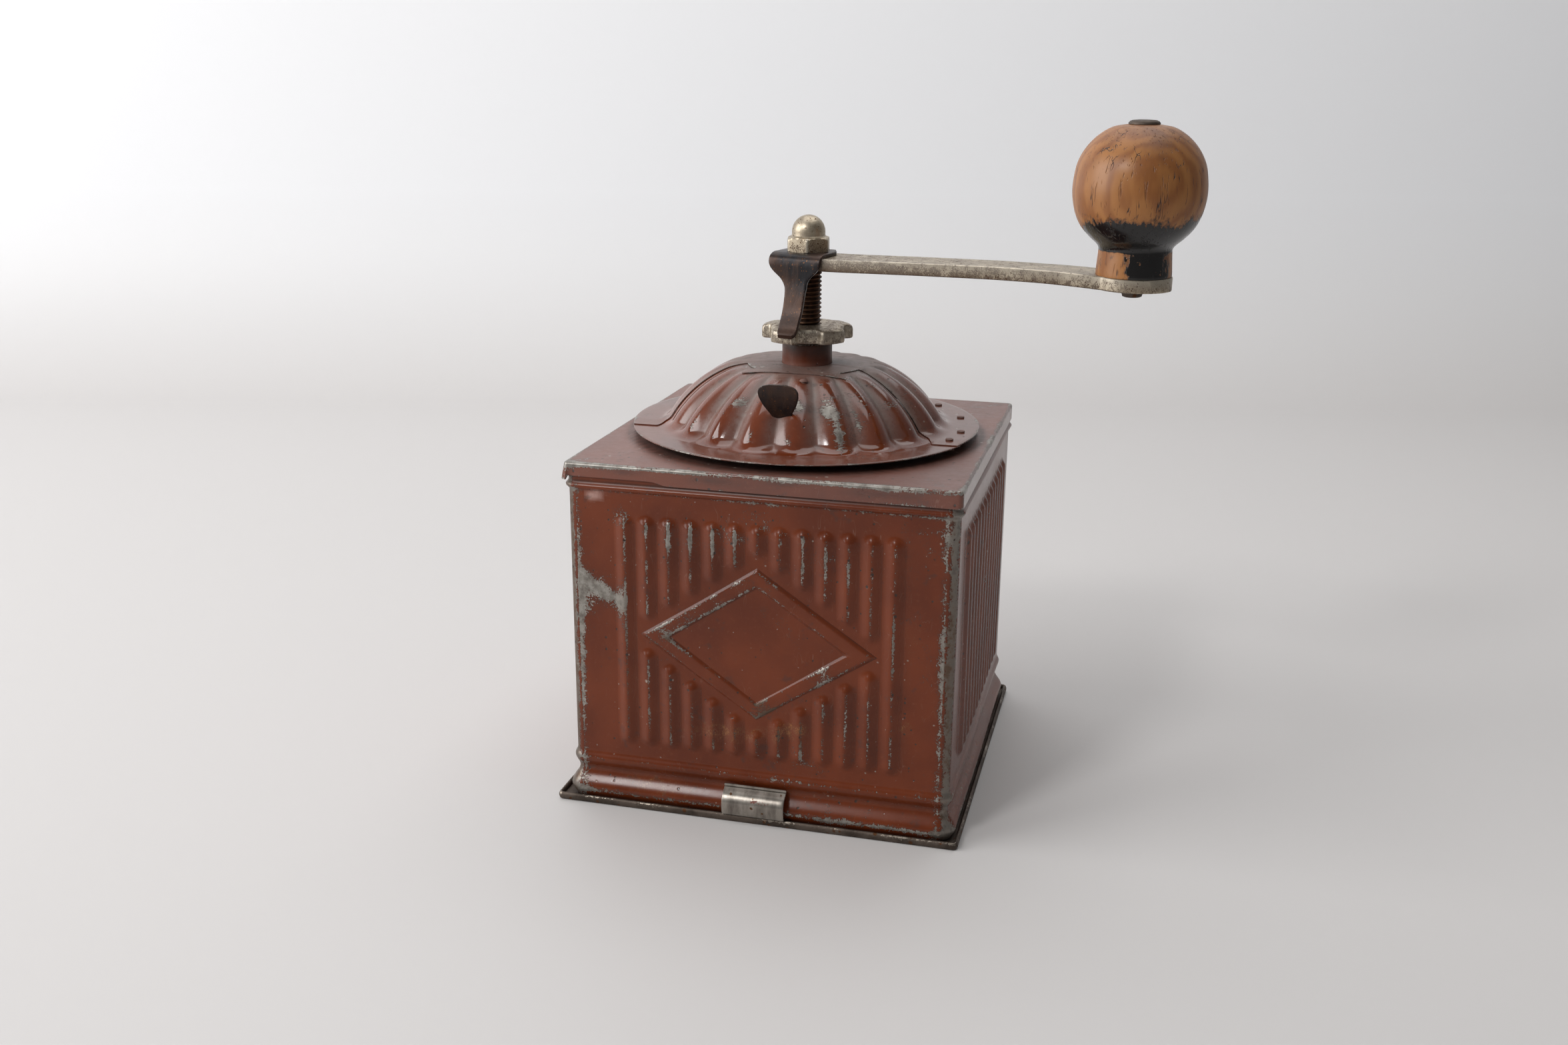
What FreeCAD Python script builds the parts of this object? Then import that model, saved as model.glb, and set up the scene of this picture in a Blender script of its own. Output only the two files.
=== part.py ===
"""Hand crank coffee grinder: a tin box, a fluted hopper with a turning door, and a crank.

Millimetres, +Z up, the front faces -Y.  The origin is the centre of the underside of the base.
"""
import FreeCAD
import Part
import math
import os

Vector = FreeCAD.Vector
ORIGIN = Vector(0, 0, 0)
UP = Vector(0, 0, 1)

# Sheet and fits
sheet = 0.5
running = 0.05
slip = 0.3
touch_gap = 0.1
overcut = 1.0
weld = 0.5

# Box body
body_width = 108.8
body_corner = 3.0
body_lift = 0.2
bead_out = 0.8
bead_half = 1.6
bead_level = 13.1
cove_depth = 0.5
cove_half = 2.1
flare_out = 2.0
flare_level = 4.0
foot_out = 0.6
top_bead_out = 0.5
top_bead_half = 1.4

# Pressed ribs and the lozenge frame on the front
rib_radius = 1.3
rib_pitch = 6.28
rib_pairs = 6
rib_low = 20.8
rib_high = 84.8
lozenge_level = 52.7
lozenge_half_width = 32.8
lozenge_half_height = 21.9
lozenge_band = 0.77
lozenge_out = 0.6
lozenge_margin = 4.5

# Cover of the box
cover_top = 101.0
cover_skirt = 4.9
cover_corner = 1.2
mouth_radius = 36.6

# Base plate
base_sheet = 0.7
base_side_margin = 2.6
base_rim_width = 1.3
base_rim_height = 2.2
base_corner = 1.5

# Hinge at the back of the base
hinge_sheet = 0.6
hinge_pin_radius = 1.1
hinge_half_length = 15.0
hinge_middle_half = 5.0
hinge_rise = 1.2
leaf_bend_above_flare = 3.4
leaf_bend_below_bead = 0.8
leaf_rivet_radius = 0.7
leaf_rivet_share = 0.6

# Spring clip at the front of the base
clip_width = 18.0
clip_sheet = 0.6
clip_bulge = 0.8
clip_lip_turn = 0.6

# Fluted hopper
flange_radius = 51.0
flange_lift = 1.6
crown_rise = 20.0
dome_foot_radius = 41.6
dome_crown_radius = 22.5
dome_bulge_radius = 35.7
flute_count = 20
flute_depth = 1.6
flute_fade = 8.0
door_cut = 17.6
door_tuck = 1.4
door_eye_radius = 13.0
cowl_rivet_inset = 4.5
cowl_rivet_radius = 0.8
cowl_rivet_head = 1.1
cowl_rivet_foot = 1.3
cowl_spacer_radius = 1.5
cowl_rivet_head_height = 0.4

# Thumb tongue of the door and the rivet beside it
tab_thickness = 0.9
tab_drop = 8.6
tab_height = 10.6
tab_root_half = 3.2
tab_tip_half = 5.2
tab_lean = 4.6
tab_foot_length = 2.6
tab_rivet_x = 4.4
tab_rivet_from_cut = 4.2
tab_rivet_radius = 0.8
tab_rivet_head = 1.5
tab_rivet_sink = 0.8

# Neck, washer and adjusting nut
bush_radius = 7.35
bush_rise = 26.7
collar_radius = 10.0
collar_height = 2.0
washer_radius = 6.6
washer_thickness = 0.8
nut_radius = 13.3
nut_root_radius = 10.9
nut_height = 4.3
nut_lobes = 5
nut_lobe_angle = 40.0
nut_first_lobe = -39.5

# Spindle
spindle_radius = 4.0
thread_pitch = 1.25
thread_depth = 0.65
journal_radius = 3.5
square_side = 6.0
spindle_tip_radius = 3.0

# Crank
crank_angle = -13.0
arm_rise = 48.1
arm_thickness = 3.5
arm_reach = 94.6
arm_half_width = 8.0
arm_waist_half = 7.0
arm_pad_radius = 10.0
arm_bow = 1.3
pad_lift = 0.7

# Lock spring on the arm
strap_sheet = 1.2
strap_half_length = 8.2
strap_front = 9.3
strap_back = 6.0
strap_stem_half = 3.1
strap_drop = 3.0
strap_shoulder = 2.6
strap_curve = 1.2
tongue_tip_half = 2.7
tongue_end_half = 1.7
tongue_reach = 0.9
tongue_lip = 1.4
tongue_lip_out = 1.2
tongue_knee = 0.4

# Cap nut, knob and knob pin
cap_flats = 11.7
cap_hex_height = 4.1
cap_dome_radius = 4.8
cap_dome_height = 6.1
cap_bevel = 0.6
cap_bevel_slope = 2.8
cap_turn = -80.0
knob_radius = 17.6
knob_neck_radius = 9.7
knob_neck_height = 9.5
knob_waist = 0.5
knob_belly_share = 0.468
knob_height = 38.0
knob_pin_radius = 2.5
pin_head_wall = 1.5
pin_head_height = 1.1
pin_head_round = 0.6
pin_stub = 1.6
pin_peen = 0.6

# Hopper spider and funnel
spider_thickness = 2.5
spider_outer = 44.0
spider_bar_width = 10.0
spider_boss_radius = 11.0
spider_boss_above = 1.6
spider_boss_below = 3.9
rivet_radius = 1.5
rivet_head_radius = 2.6
rivet_head_height = 0.7
spider_rivet_circle = 40.5

# Burrs and their bridge
funnel_depth = 17.4
burr_mouth_radius = 19.5
burr_throat_radius = 14.0
burr_foot_radius = 18.0
burr_body_radius = 23.0
burr_flange_edge = 1.1
burr_flange_thickness = 2.5
burr_throat_depth = 6.5
burr_depth = 18.5
burr_gap = 0.65
inner_burr_rise = 3.5
inner_burr_foot = 1.5
ring_tooth_count = 24
inner_tooth_count = 12
ring_tooth_half = 0.5
inner_tooth_half = 1.1
ring_tooth_twist = 4.0
inner_tooth_twist = 12.0
inner_burr_wall = 3.0
burr_pin_radius = 1.2
burr_pin_inset = 1.0
bridge_sheet = 2.2
bridge_width = 13.0
bridge_clearance = 1.3
bridge_drop = 29.6
lower_bush_radius = 6.5
lower_bush_height = 10.0
lower_bush_drop = 4.0
lower_bush_shoulder = 1.5
screw_radius = 2.0
screw_head_radius = 3.2
screw_head_height = 2.0
screw_nut_flats = 6.2
screw_nut_height = 2.6
screw_tail = 1.5
screw_slot_depth = 0.9
screw_slot_half = 0.5

# Derived sizes
body_half = body_width / 2
body_bottom = base_sheet + body_lift
body_top = cover_top - sheet - touch_gap
cover_half = body_half + touch_gap + sheet
cove_level = bead_level - bead_half - cove_half
base_half_x = body_half + flare_out + base_side_margin
base_half_y = body_half + flare_out + base_rim_width + touch_gap
knuckle_radius = hinge_pin_radius + running + hinge_sheet
hinge_y = base_half_y + knuckle_radius
hinge_z = base_rim_height + hinge_rise
door_flange_bottom = cover_top + flange_lift
cowl_flange_bottom = door_flange_bottom + sheet + slip
cowl_flange_top = cowl_flange_bottom + sheet
crown_top = cover_top + crown_rise
door_inset = flute_depth + sheet + slip
door_crown_top = crown_top - sheet - slip
spider_top = cover_top - sheet
spider_bottom = spider_top - spider_thickness
bush_bottom = spider_bottom - spider_boss_below
bush_top = cover_top + bush_rise
washer_top = bush_top + washer_thickness
nut_top = washer_top + nut_height
arm_bottom = cover_top + arm_rise
arm_top = arm_bottom + arm_thickness
strap_top = arm_top + strap_sheet
cap_hex_top = strap_top + cap_hex_height
funnel_bottom = spider_bottom - funnel_depth
ring_bottom = funnel_bottom - burr_depth
ring_throat = funnel_bottom - burr_throat_depth
flange_underside = funnel_bottom - burr_flange_thickness
bridge_bottom = funnel_bottom - bridge_drop
burr_bottom = ring_bottom - inner_burr_foot
burr_top = funnel_bottom + inner_burr_rise
lower_bush_bottom = bridge_bottom - lower_bush_drop
shaft_bore = spindle_radius + running
bridge_leg_x = burr_body_radius + bridge_clearance + bridge_sheet / 2
screw_x = bridge_leg_x + bridge_sheet / 2 + screw_nut_flats / 2 + slip
burr_flange_radius = screw_x + screw_head_radius + burr_flange_edge
pad_bottom = arm_bottom + pad_lift
knob_seat = pad_bottom + arm_thickness + running
knob_top = knob_seat + knob_height
spider_rivet_angles = (45, 135, 225, 315)
cowl_rivet_angles = (-16, -3, 20, 42)
cowl_rivet_circle = flange_radius - cowl_rivet_inset
leaf_rivet_places = (-leaf_rivet_share * hinge_half_length, leaf_rivet_share * hinge_half_length)
leaf_top = rib_low - rib_radius - touch_gap
leaf_rivet_level = (bead_level + bead_half + leaf_top) / 2 + sheet / 2
top_bead_level = cover_top - cover_skirt - touch_gap - top_bead_half
burr_pin_level = (ring_bottom + burr_bottom) / 2 + burr_pin_radius / 2
tab_rivet_y = -door_cut - tab_rivet_from_cut


def box(low, high):
    """A box between two opposite corners."""
    size = [high[i] - low[i] for i in range(3)]
    return Part.makeBox(size[0], size[1], size[2], Vector(*low))


def tube_z(radius, bottom, top, x=0.0, y=0.0):
    """A solid upright cylinder."""
    return Part.makeCylinder(radius, top - bottom, Vector(x, y, bottom), UP)


def revolved(profile):
    """A solid turned about Z from (radius, height) corners."""
    corners = [Vector(r, 0, z) for r, z in profile]
    face = Part.Face(Part.makePolygon(corners + [corners[0]]))
    return face.revolve(ORIGIN, UP, 360)


def turned(shape, angle, axis=UP, centre=ORIGIN):
    """A copy of a shape turned about an axis."""
    copy = shape.copy()
    copy.rotate(centre, axis, angle)
    return copy


def fused(shapes):
    """One clean solid from several that meet."""
    return shapes[0].fuse(shapes[1:]).removeSplitter()


def joined(shapes):
    """Several loose solids kept as one piece."""
    return Part.makeCompound(shapes)


def on_circle(radius, angle):
    """The x and y of a point on a circle about Z."""
    return radius * math.cos(math.radians(angle)), radius * math.sin(math.radians(angle))


def strip_face(points, thickness, place):
    """A face for a bent strip that follows a line of 2D points; place turns 2D into 3D."""
    left = []
    right = []
    for i, point in enumerate(points):
        normals = []
        for a, b in ((i - 1, i), (i, i + 1)):
            if a >= 0 and b < len(points):
                du = points[b][0] - points[a][0]
                dv = points[b][1] - points[a][1]
                length = math.hypot(du, dv)
                normals.append((-dv / length, du / length))
        nu = sum(n[0] for n in normals)
        nv = sum(n[1] for n in normals)
        scale = thickness / 2 * len(normals) / (nu * nu + nv * nv)
        left.append((point[0] + nu * scale, point[1] + nv * scale))
        right.append((point[0] - nu * scale, point[1] - nv * scale))
    corners = [place(u, v) for u, v in left + right[::-1]]
    return Part.Face(Part.makePolygon(corners + [corners[0]]))


def strip_along_x(points, thickness, x_low, x_high):
    """A bent strip drawn in (y, z) and drawn out along X."""
    face = strip_face(points, thickness, lambda y, z: Vector(x_low, y, z))
    return face.extrude(Vector(x_high - x_low, 0, 0))


def top_edges(shape, level):
    """The edges of a shape that lie in one level plane."""
    return [e for e in shape.Edges if all(abs(v.Z - level) < 1e-4 for v in e.Vertexes)]


def upright_edges(shape):
    """The straight upright edges of a shape."""
    found = []
    for edge in shape.Edges:
        if len(edge.Vertexes) == 2:
            a, b = edge.Vertexes
            if abs(a.X - b.X) < 1e-6 and abs(a.Y - b.Y) < 1e-6:
                found.append(edge)
    return found


def rounded_block(half_x, half_y, bottom, top, corner):
    """An upright block with rounded corners."""
    block = box((-half_x, -half_y, bottom), (half_x, half_y, top))
    return block.makeFillet(corner, upright_edges(block))


def wall_line(inset):
    """The outer line of the box wall from top to foot, moved inwards by inset."""
    bead_top = top_bead_level + top_bead_half
    marks = [
        ("line", (0, body_top), None, (0, bead_top)),
        ("arc", (0, bead_top), (top_bead_out, top_bead_level), (0, bead_top - 2 * top_bead_half)),
        ("line", (0, bead_top - 2 * top_bead_half), None, (0, bead_level + bead_half)),
        ("arc", (0, bead_level + bead_half), (bead_out, bead_level), (0, bead_level - bead_half)),
        ("arc", (0, bead_level - bead_half), (-cove_depth, cove_level), (0, cove_level - cove_half)),
        ("arc", (0, cove_level - cove_half), (flare_out, flare_level), (foot_out, body_bottom)),
    ]
    edges = []
    for kind, start, middle, end in marks:
        a = Vector(body_half - inset + start[0], 0, start[1])
        b = Vector(body_half - inset + end[0], 0, end[1])
        if kind == "line":
            edges.append(Part.LineSegment(a, b).toShape())
        else:
            m = Vector(body_half - inset + middle[0], 0, middle[1])
            edges.append(Part.Arc(a, m, b).toShape())
    return edges, edges[0].Vertexes[0].Point, Vector(b)


def wall_section():
    """The cross-section of the box wall as a face in the XZ plane."""
    outer, outer_top, outer_foot = wall_line(0)
    inner, inner_top, inner_foot = wall_line(sheet)
    ends = [Part.makeLine(outer_top, inner_top), Part.makeLine(outer_foot, inner_foot)]
    wire = Part.Wire(Part.__sortEdges__(outer + inner + ends))
    return Part.Face(wire)


def capsule(y, low, high):
    """A round-ended rib standing on the inner skin of the +X wall."""
    x = body_half - sheet
    rod = Part.makeCylinder(rib_radius, high - low, Vector(x, y, low), UP)
    ends = [Part.makeSphere(rib_radius, Vector(x, y, z)) for z in (low, high)]
    return fused([rod] + ends)


def ribs_for_wall(spans):
    """Ribs on the +X wall from (y, low, high) spans, cut flat at the inner skin."""
    ribs = joined([capsule(y, low, high) for y, low, high in spans])
    keep_from = body_half - sheet / 2
    keep = box((keep_from, -body_half, 0), (body_half + 2 * rib_radius, body_half, cover_top))
    return ribs.common(keep).Solids


def plain_spans():
    """Full-height ribs, evenly spaced."""
    return [(i * rib_pitch, rib_low, rib_high) for i in range(-rib_pairs, rib_pairs + 1)]


def front_spans():
    """Ribs that stop short of the lozenge, apart from the outer two."""
    spans = []
    for y, low, high in plain_spans():
        reach = lozenge_half_height * (1 - abs(y) / lozenge_half_width) + lozenge_margin
        if abs(y) > (rib_pairs - 0.5) * rib_pitch:
            spans.append((y, low, high))
        else:
            spans.append((y, low, lozenge_level - reach - rib_radius))
            spans.append((y, lozenge_level + reach + rib_radius, high))
    return [s for s in spans if s[2] > s[1]]


def lozenge_frame():
    """The raised flat frame on the +X wall."""
    def outline(scale):
        half_y = lozenge_half_width * scale
        half_z = lozenge_half_height * scale
        x = body_half - sheet / 2
        corners = [(half_y, 0), (0, half_z), (-half_y, 0), (0, -half_z)]
        points = [Vector(x, y, lozenge_level + z) for y, z in corners]
        return Part.Face(Part.makePolygon(points + [points[0]]))
    height = lozenge_out + sheet / 2
    band = outline(1).cut(outline(lozenge_band)).extrude(Vector(height, 0, 0))
    crest = body_half + lozenge_out
    rim = [e for e in band.Edges if all(abs(v.X - crest) < 1e-4 for v in e.Vertexes)]
    return band.makeChamfer(lozenge_out * 0.6, rim)


def body_shell():
    """Tin box open below: four walls with folded corners, beads, flared foot and pressed ribs."""
    straight = body_half - body_corner
    side = wall_section()
    side.translate(Vector(0, -straight, 0))
    wall = side.extrude(Vector(0, 2 * straight, 0))
    fold = wall_section()
    fold.translate(Vector(0, straight, 0))
    corner = fold.revolve(Vector(straight, straight, 0), UP, 90)
    plain = ribs_for_wall(plain_spans())
    front = ribs_for_wall(front_spans()) + [lozenge_frame()]
    pieces = []
    for angle in (0, 90, 180, 270):
        pieces.append(turned(wall, angle))
        pieces.append(turned(corner, angle))
    shell = fused(pieces)
    pressed = []
    for angle in (0, 90, 180):
        pressed += [turned(rib, angle) for rib in plain]
    pressed += [turned(rib, 270) for rib in front]
    shell = shell.fuse(pressed).removeSplitter()
    for rivet_x in leaf_rivet_places:
        start = Vector(rivet_x, body_half - 2 * sheet, leaf_rivet_level)
        shell = shell.cut(Part.makeCylinder(leaf_rivet_radius, 4 * sheet, start, Vector(0, 1, 0)))
    return shell


def top_cover():
    """Flat lid of the box with a turned-down skirt and the hopper's mouth."""
    low = cover_top - cover_skirt
    lid = rounded_block(cover_half, cover_half, low, cover_top, cover_corner)
    lid = lid.makeFillet(0.6 * sheet, top_edges(lid, cover_top))
    pocket_half = cover_half - sheet
    pocket = rounded_block(pocket_half, pocket_half, low - overcut, cover_top - sheet,
                           cover_corner - sheet)
    holes = [tube_z(mouth_radius, low, cover_top + overcut)]
    for angle in spider_rivet_angles:
        x, y = on_circle(spider_rivet_circle, angle)
        holes.append(tube_z(rivet_radius, low, cover_top + overcut, x, y))
    for angle in cowl_rivet_angles:
        x, y = on_circle(cowl_rivet_circle, angle)
        holes.append(tube_z(cowl_rivet_radius, low, cover_top + overcut, x, y))
    return lid.cut([pocket] + holes)


def base_plate():
    """Flat sheet with a rolled rim all round."""
    rim = rounded_block(base_half_x, base_half_y, 0, base_rim_height, base_corner)
    rim = rim.makeFillet(0.4 * base_rim_width, top_edges(rim, base_rim_height))
    well = box((-base_half_x + base_rim_width, -base_half_y + base_rim_width, base_sheet),
               (base_half_x - base_rim_width, base_half_y - base_rim_width, base_rim_height + overcut))
    return rim.cut(well)


def knuckle(x_low, x_high, bore):
    """A rolled hinge eye along X."""
    length = x_high - x_low
    start = Vector(x_low, hinge_y, hinge_z)
    along = Vector(1, 0, 0)
    eye = Part.makeCylinder(knuckle_radius, length, start, along)
    return eye, Part.makeCylinder(bore, length, start, along)


def body_hinge_leaf():
    """Hinge leaf on the back wall, with two eyes."""
    eye_y = hinge_y - knuckle_radius + hinge_sheet / 2
    bead_y = body_half + bead_out + touch_gap + hinge_sheet / 2
    wall_y = body_half + hinge_sheet / 2
    bead_top = bead_level + bead_half
    line = [(eye_y, hinge_z), (eye_y, flare_level + leaf_bend_above_flare),
            (bead_y, bead_level - bead_half - leaf_bend_below_bead), (bead_y, bead_top - sheet),
            (wall_y, bead_top + sheet), (wall_y, leaf_top)]
    leaf = strip_along_x(line, hinge_sheet, -hinge_half_length, hinge_half_length)
    middle = hinge_middle_half
    window = box((-middle, body_half, 0),
                 (middle, hinge_y + 2 * knuckle_radius, hinge_z + knuckle_radius + slip))
    leaf = leaf.cut(window)
    bores = []
    for low, high in ((-hinge_half_length, -middle), (middle, hinge_half_length)):
        eye, bore = knuckle(low, high, hinge_pin_radius + running)
        leaf = leaf.fuse(eye)
        bores.append(bore)
    for x in leaf_rivet_places:
        start = Vector(x, body_half - hinge_sheet, leaf_rivet_level)
        bores.append(Part.makeCylinder(leaf_rivet_radius, 4 * hinge_sheet, start, Vector(0, 1, 0)))
    return leaf.cut(bores).removeSplitter()


def leaf_rivets():
    """Two rivets that hold the body leaf to the back wall."""
    out = Vector(0, 1, 0)
    rivets = []
    for x in leaf_rivet_places:
        inner = body_half - sheet
        outer = body_half + hinge_sheet
        start = Vector(x, inner, leaf_rivet_level)
        shank = Part.makeCylinder(leaf_rivet_radius, outer - inner, start, out)
        heads = []
        for y in (inner - sheet, outer):
            start = Vector(x, y, leaf_rivet_level)
            heads.append(Part.makeCylinder(2 * leaf_rivet_radius, sheet, start, out))
        rivets.append(fused([shank] + heads))
    return joined(rivets)


def base_hinge_leaf():
    """Hinge leaf on the back of the base rim, with one eye."""
    half = hinge_middle_half - touch_gap
    plate = box((-half, base_half_y, base_sheet / 2), (half, base_half_y + hinge_sheet, hinge_z))
    eye, bore = knuckle(-half, half, hinge_pin_radius + running)
    return plate.fuse(eye).cut(bore).removeSplitter()


def hinge_pin():
    """Pin of the back hinge with a flattened head at each end."""
    along = Vector(1, 0, 0)
    length = 2 * hinge_half_length
    start = Vector(-hinge_half_length, hinge_y, hinge_z)
    shank = Part.makeCylinder(hinge_pin_radius, length, start, along)
    heads = []
    for x in (-hinge_half_length - sheet, hinge_half_length):
        start = Vector(x, hinge_y, hinge_z)
        heads.append(Part.makeCylinder(knuckle_radius - touch_gap, sheet, start, along))
    return fused([shank] + heads)


def clip_line():
    """The bent line of the base clip in (y, z)."""
    rim_middle = base_half_y - base_rim_width / 2
    foot_z = base_rim_height + clip_sheet / 2
    lip_y = body_half + touch_gap + clip_sheet / 2
    lip_z = cove_level + sheet / 2
    rise = lip_z - flare_level
    return [(-rim_middle, foot_z), (-base_half_y, foot_z),
            (-base_half_y - 0.6 * clip_bulge, flare_level),
            (-base_half_y - clip_bulge, flare_level + 0.28 * rise),
            (-base_half_y - 0.5 * clip_bulge, flare_level + 0.56 * rise),
            ((-base_half_y - clip_bulge - lip_y) / 2, flare_level + 0.8 * rise),
            (-lip_y, lip_z),
            (-lip_y - clip_lip_turn, lip_z + clip_lip_turn)]


def base_clip():
    """Bare tin spring clip on the front rim; its lip sits in the cove above the flared foot."""
    return strip_along_x(clip_line(), clip_sheet, -clip_width / 2, clip_width / 2)


def dome_centre():
    """The centre of the arc that forms the crest line of the dome, as radius and height."""
    r0, z0 = dome_foot_radius, cowl_flange_top
    r1, z1 = dome_crown_radius, crown_top
    middle = ((r0 + r1) / 2, (z0 + z1) / 2)
    chord = math.hypot(r1 - r0, z1 - z0)
    away = math.sqrt(dome_bulge_radius ** 2 - (chord / 2) ** 2)
    along = ((r1 - r0) / chord, (z1 - z0) / chord)
    return middle[0] - along[1] * away, middle[1] + along[0] * away


def fluted_block(inset, low, high):
    """A solid dome with flutes; its crest line is inset from the cowl's outer crest line."""
    centre_r, centre_z = dome_centre()
    radius = dome_bulge_radius - inset
    levels = 7
    points_per_flute = 6
    first = math.asin((low - centre_z) / radius)
    last = math.asin((high - centre_z) / radius)
    count = flute_count * points_per_flute
    knots = [i / count for i in range(count + 1)]
    wires = []
    for level in range(levels):
        rise = first + (last - first) * level / (levels - 1)
        crest_r = centre_r + radius * math.cos(rise)
        z = centre_z + radius * math.sin(rise)
        depth = flute_depth * math.sin(math.pi / 2 * min(1.0, (high - z) / flute_fade))
        points = []
        for i in range(count):
            turn = 2 * math.pi * i / count - math.pi / 2
            wave = 0.5 + 0.5 * math.cos(flute_count * (turn + math.pi / 2))
            r = crest_r - depth * wave
            points.append(Vector(r * math.cos(turn), r * math.sin(turn), z))
        curve = Part.BSplineCurve()
        curve.interpolate(Points=points, PeriodicFlag=True, Parameters=knots)
        wires.append(Part.Wire(curve.toShape()))
    return Part.makeLoft(wires, True, False)


def fluted_skin(inset, flange_bottom, crown):
    """A thin fluted dome with a flat crown and a flat round flange."""
    outer = fluted_block(inset, flange_bottom + sheet / 2, crown)
    inner = fluted_block(inset + sheet, flange_bottom - overcut, crown - sheet)
    flange = tube_z(flange_radius, flange_bottom, flange_bottom + sheet)
    return outer.fuse(flange).cut(inner)


def hopper_cowl():
    """Fixed rear part of the dome, with its crown and flange."""
    skin = fluted_skin(0, cowl_flange_bottom, crown_top)
    front = box((-2 * flange_radius, -2 * flange_radius, 0), (2 * flange_radius, -door_cut, 2 * crown_top))
    holes = [front, tube_z(bush_radius + running, cover_top, crown_top + overcut)]
    for angle in cowl_rivet_angles:
        x, y = on_circle(cowl_rivet_circle, angle)
        holes.append(tube_z(cowl_rivet_radius, cover_top, crown_top, x, y))
    return skin.cut(holes)


def hopper_door():
    """Front part of the dome, which turns on the neck under the cowl."""
    skin = fluted_skin(door_inset, door_flange_bottom, door_crown_top)
    far = 2 * flange_radius
    low = door_crown_top - 3 * sheet
    high = door_crown_top + sheet
    front = box((-far, -far, 0), (far, -door_cut + door_tuck, 2 * crown_top))
    eye = tube_z(door_eye_radius, low, high)
    bridge = box((-door_eye_radius, -door_cut, low), (door_eye_radius, 0, high))
    door = skin.common(front.fuse([eye, bridge]))
    slot = tab_strip(2 * touch_gap)
    rivet_hole = tube_z(tab_rivet_radius, cover_top, crown_top, tab_rivet_x, tab_rivet_y)
    hole = tube_z(bush_radius + 2 * running, cover_top, crown_top)
    return door.cut([hole, slot, rivet_hole])


def tab_strip(extra):
    """The door's thumb tongue, thicker by extra for its slot."""
    centre_r, centre_z = dome_centre()
    root_z = door_crown_top - tab_drop
    crest_r = centre_r + math.sqrt((dome_bulge_radius - door_inset) ** 2 - (root_z - centre_z) ** 2)
    root_y = flute_depth - crest_r
    line = [(root_y + tab_foot_length, root_z + sheet), (root_y + tab_thickness, root_z - sheet),
            (root_y - tab_thickness, root_z + sheet / 2), (root_y - 0.75 * tab_lean, root_z + 0.5 * tab_height),
            (root_y - tab_lean, root_z + 0.9 * tab_height)]
    wide = strip_along_x(line, tab_thickness + extra, -tab_tip_half, tab_tip_half)
    grow = 1 + extra / (2 * tab_root_half)
    half_outline = [(tab_root_half, root_z - 3 * sheet), (tab_root_half, root_z + sheet),
                    (tab_tip_half, root_z + 0.66 * tab_height),
                    (0.88 * tab_tip_half, root_z + 0.87 * tab_height),
                    (0.5 * tab_tip_half, root_z + tab_height)]
    outline = half_outline + [(-x, z) for x, z in half_outline[::-1]]
    corners = [Vector(x * grow, -flange_radius, z) for x, z in outline]
    front = Part.Face(Part.makePolygon(corners + [corners[0]])).extrude(Vector(0, flange_radius, 0))
    return wide.common(front)


def door_tab():
    """Thumb tongue clinched through the door."""
    return tab_strip(0)


def tab_rivet():
    """Small domed rivet in the door's crown."""
    x, y = tab_rivet_x, tab_rivet_y
    top = door_crown_top
    shank = tube_z(tab_rivet_radius, top - 2 * sheet, top + touch_gap, x, y)
    ball = Part.makeSphere(tab_rivet_head, Vector(x, y, top - tab_rivet_sink))
    reach = 2 * tab_rivet_head
    head = ball.common(box((x - reach, y - reach, top), (x + reach, y + reach, top + reach)))
    return fused([shank, head])


def cowl_rivets():
    """Rivets with spacers that hold the cowl's flange above the cover."""
    underside = cover_top - sheet
    low = underside - cowl_rivet_head_height
    high = cowl_flange_top + cowl_rivet_head_height
    rivets = []
    for angle in cowl_rivet_angles:
        x, y = on_circle(cowl_rivet_circle, angle)
        shank = tube_z(cowl_rivet_radius, low, high, x, y)
        spacer = tube_z(cowl_spacer_radius, cover_top, cowl_flange_bottom, x, y)
        heads = [tube_z(cowl_rivet_head, cowl_flange_top, high, x, y),
                 tube_z(cowl_rivet_foot, low, underside, x, y)]
        rivets.append(fused([shank, spacer] + heads))
    return joined(rivets)


def neck_bush():
    """Tube that carries the spindle, with a collar under the door's eye."""
    collar_top = door_crown_top - sheet - touch_gap
    tube = tube_z(bush_radius, bush_bottom, bush_top)
    collar = tube_z(collar_radius, collar_top - collar_height, collar_top)
    bore = tube_z(shaft_bore, bush_bottom - overcut, bush_top + overcut)
    return fused([tube, collar]).cut(bore)


def hopper_spider():
    """Ring with a cross bar and a boss that holds the neck bush in the hopper's mouth."""
    ring = tube_z(spider_outer, spider_bottom, spider_top)
    ring = ring.cut(tube_z(mouth_radius, spider_bottom, spider_top))
    reach = (mouth_radius + spider_outer) / 2
    half = spider_bar_width / 2
    bar = box((-reach, -half, spider_bottom), (reach, half, spider_top))
    boss = tube_z(spider_boss_radius, bush_bottom, spider_top + spider_boss_above)
    holes = [tube_z(bush_radius, bush_bottom - overcut, crown_top)]
    for angle in spider_rivet_angles:
        x, y = on_circle(spider_rivet_circle, angle)
        holes.append(tube_z(rivet_radius, spider_bottom - overcut, spider_top + overcut, x, y))
    for angle in cowl_rivet_angles:
        x, y = on_circle(cowl_rivet_circle, angle)
        holes.append(tube_z(cowl_spacer_radius, spider_bottom - overcut, spider_top + overcut, x, y))
    return fused([ring, bar, boss]).cut(holes)


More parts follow.
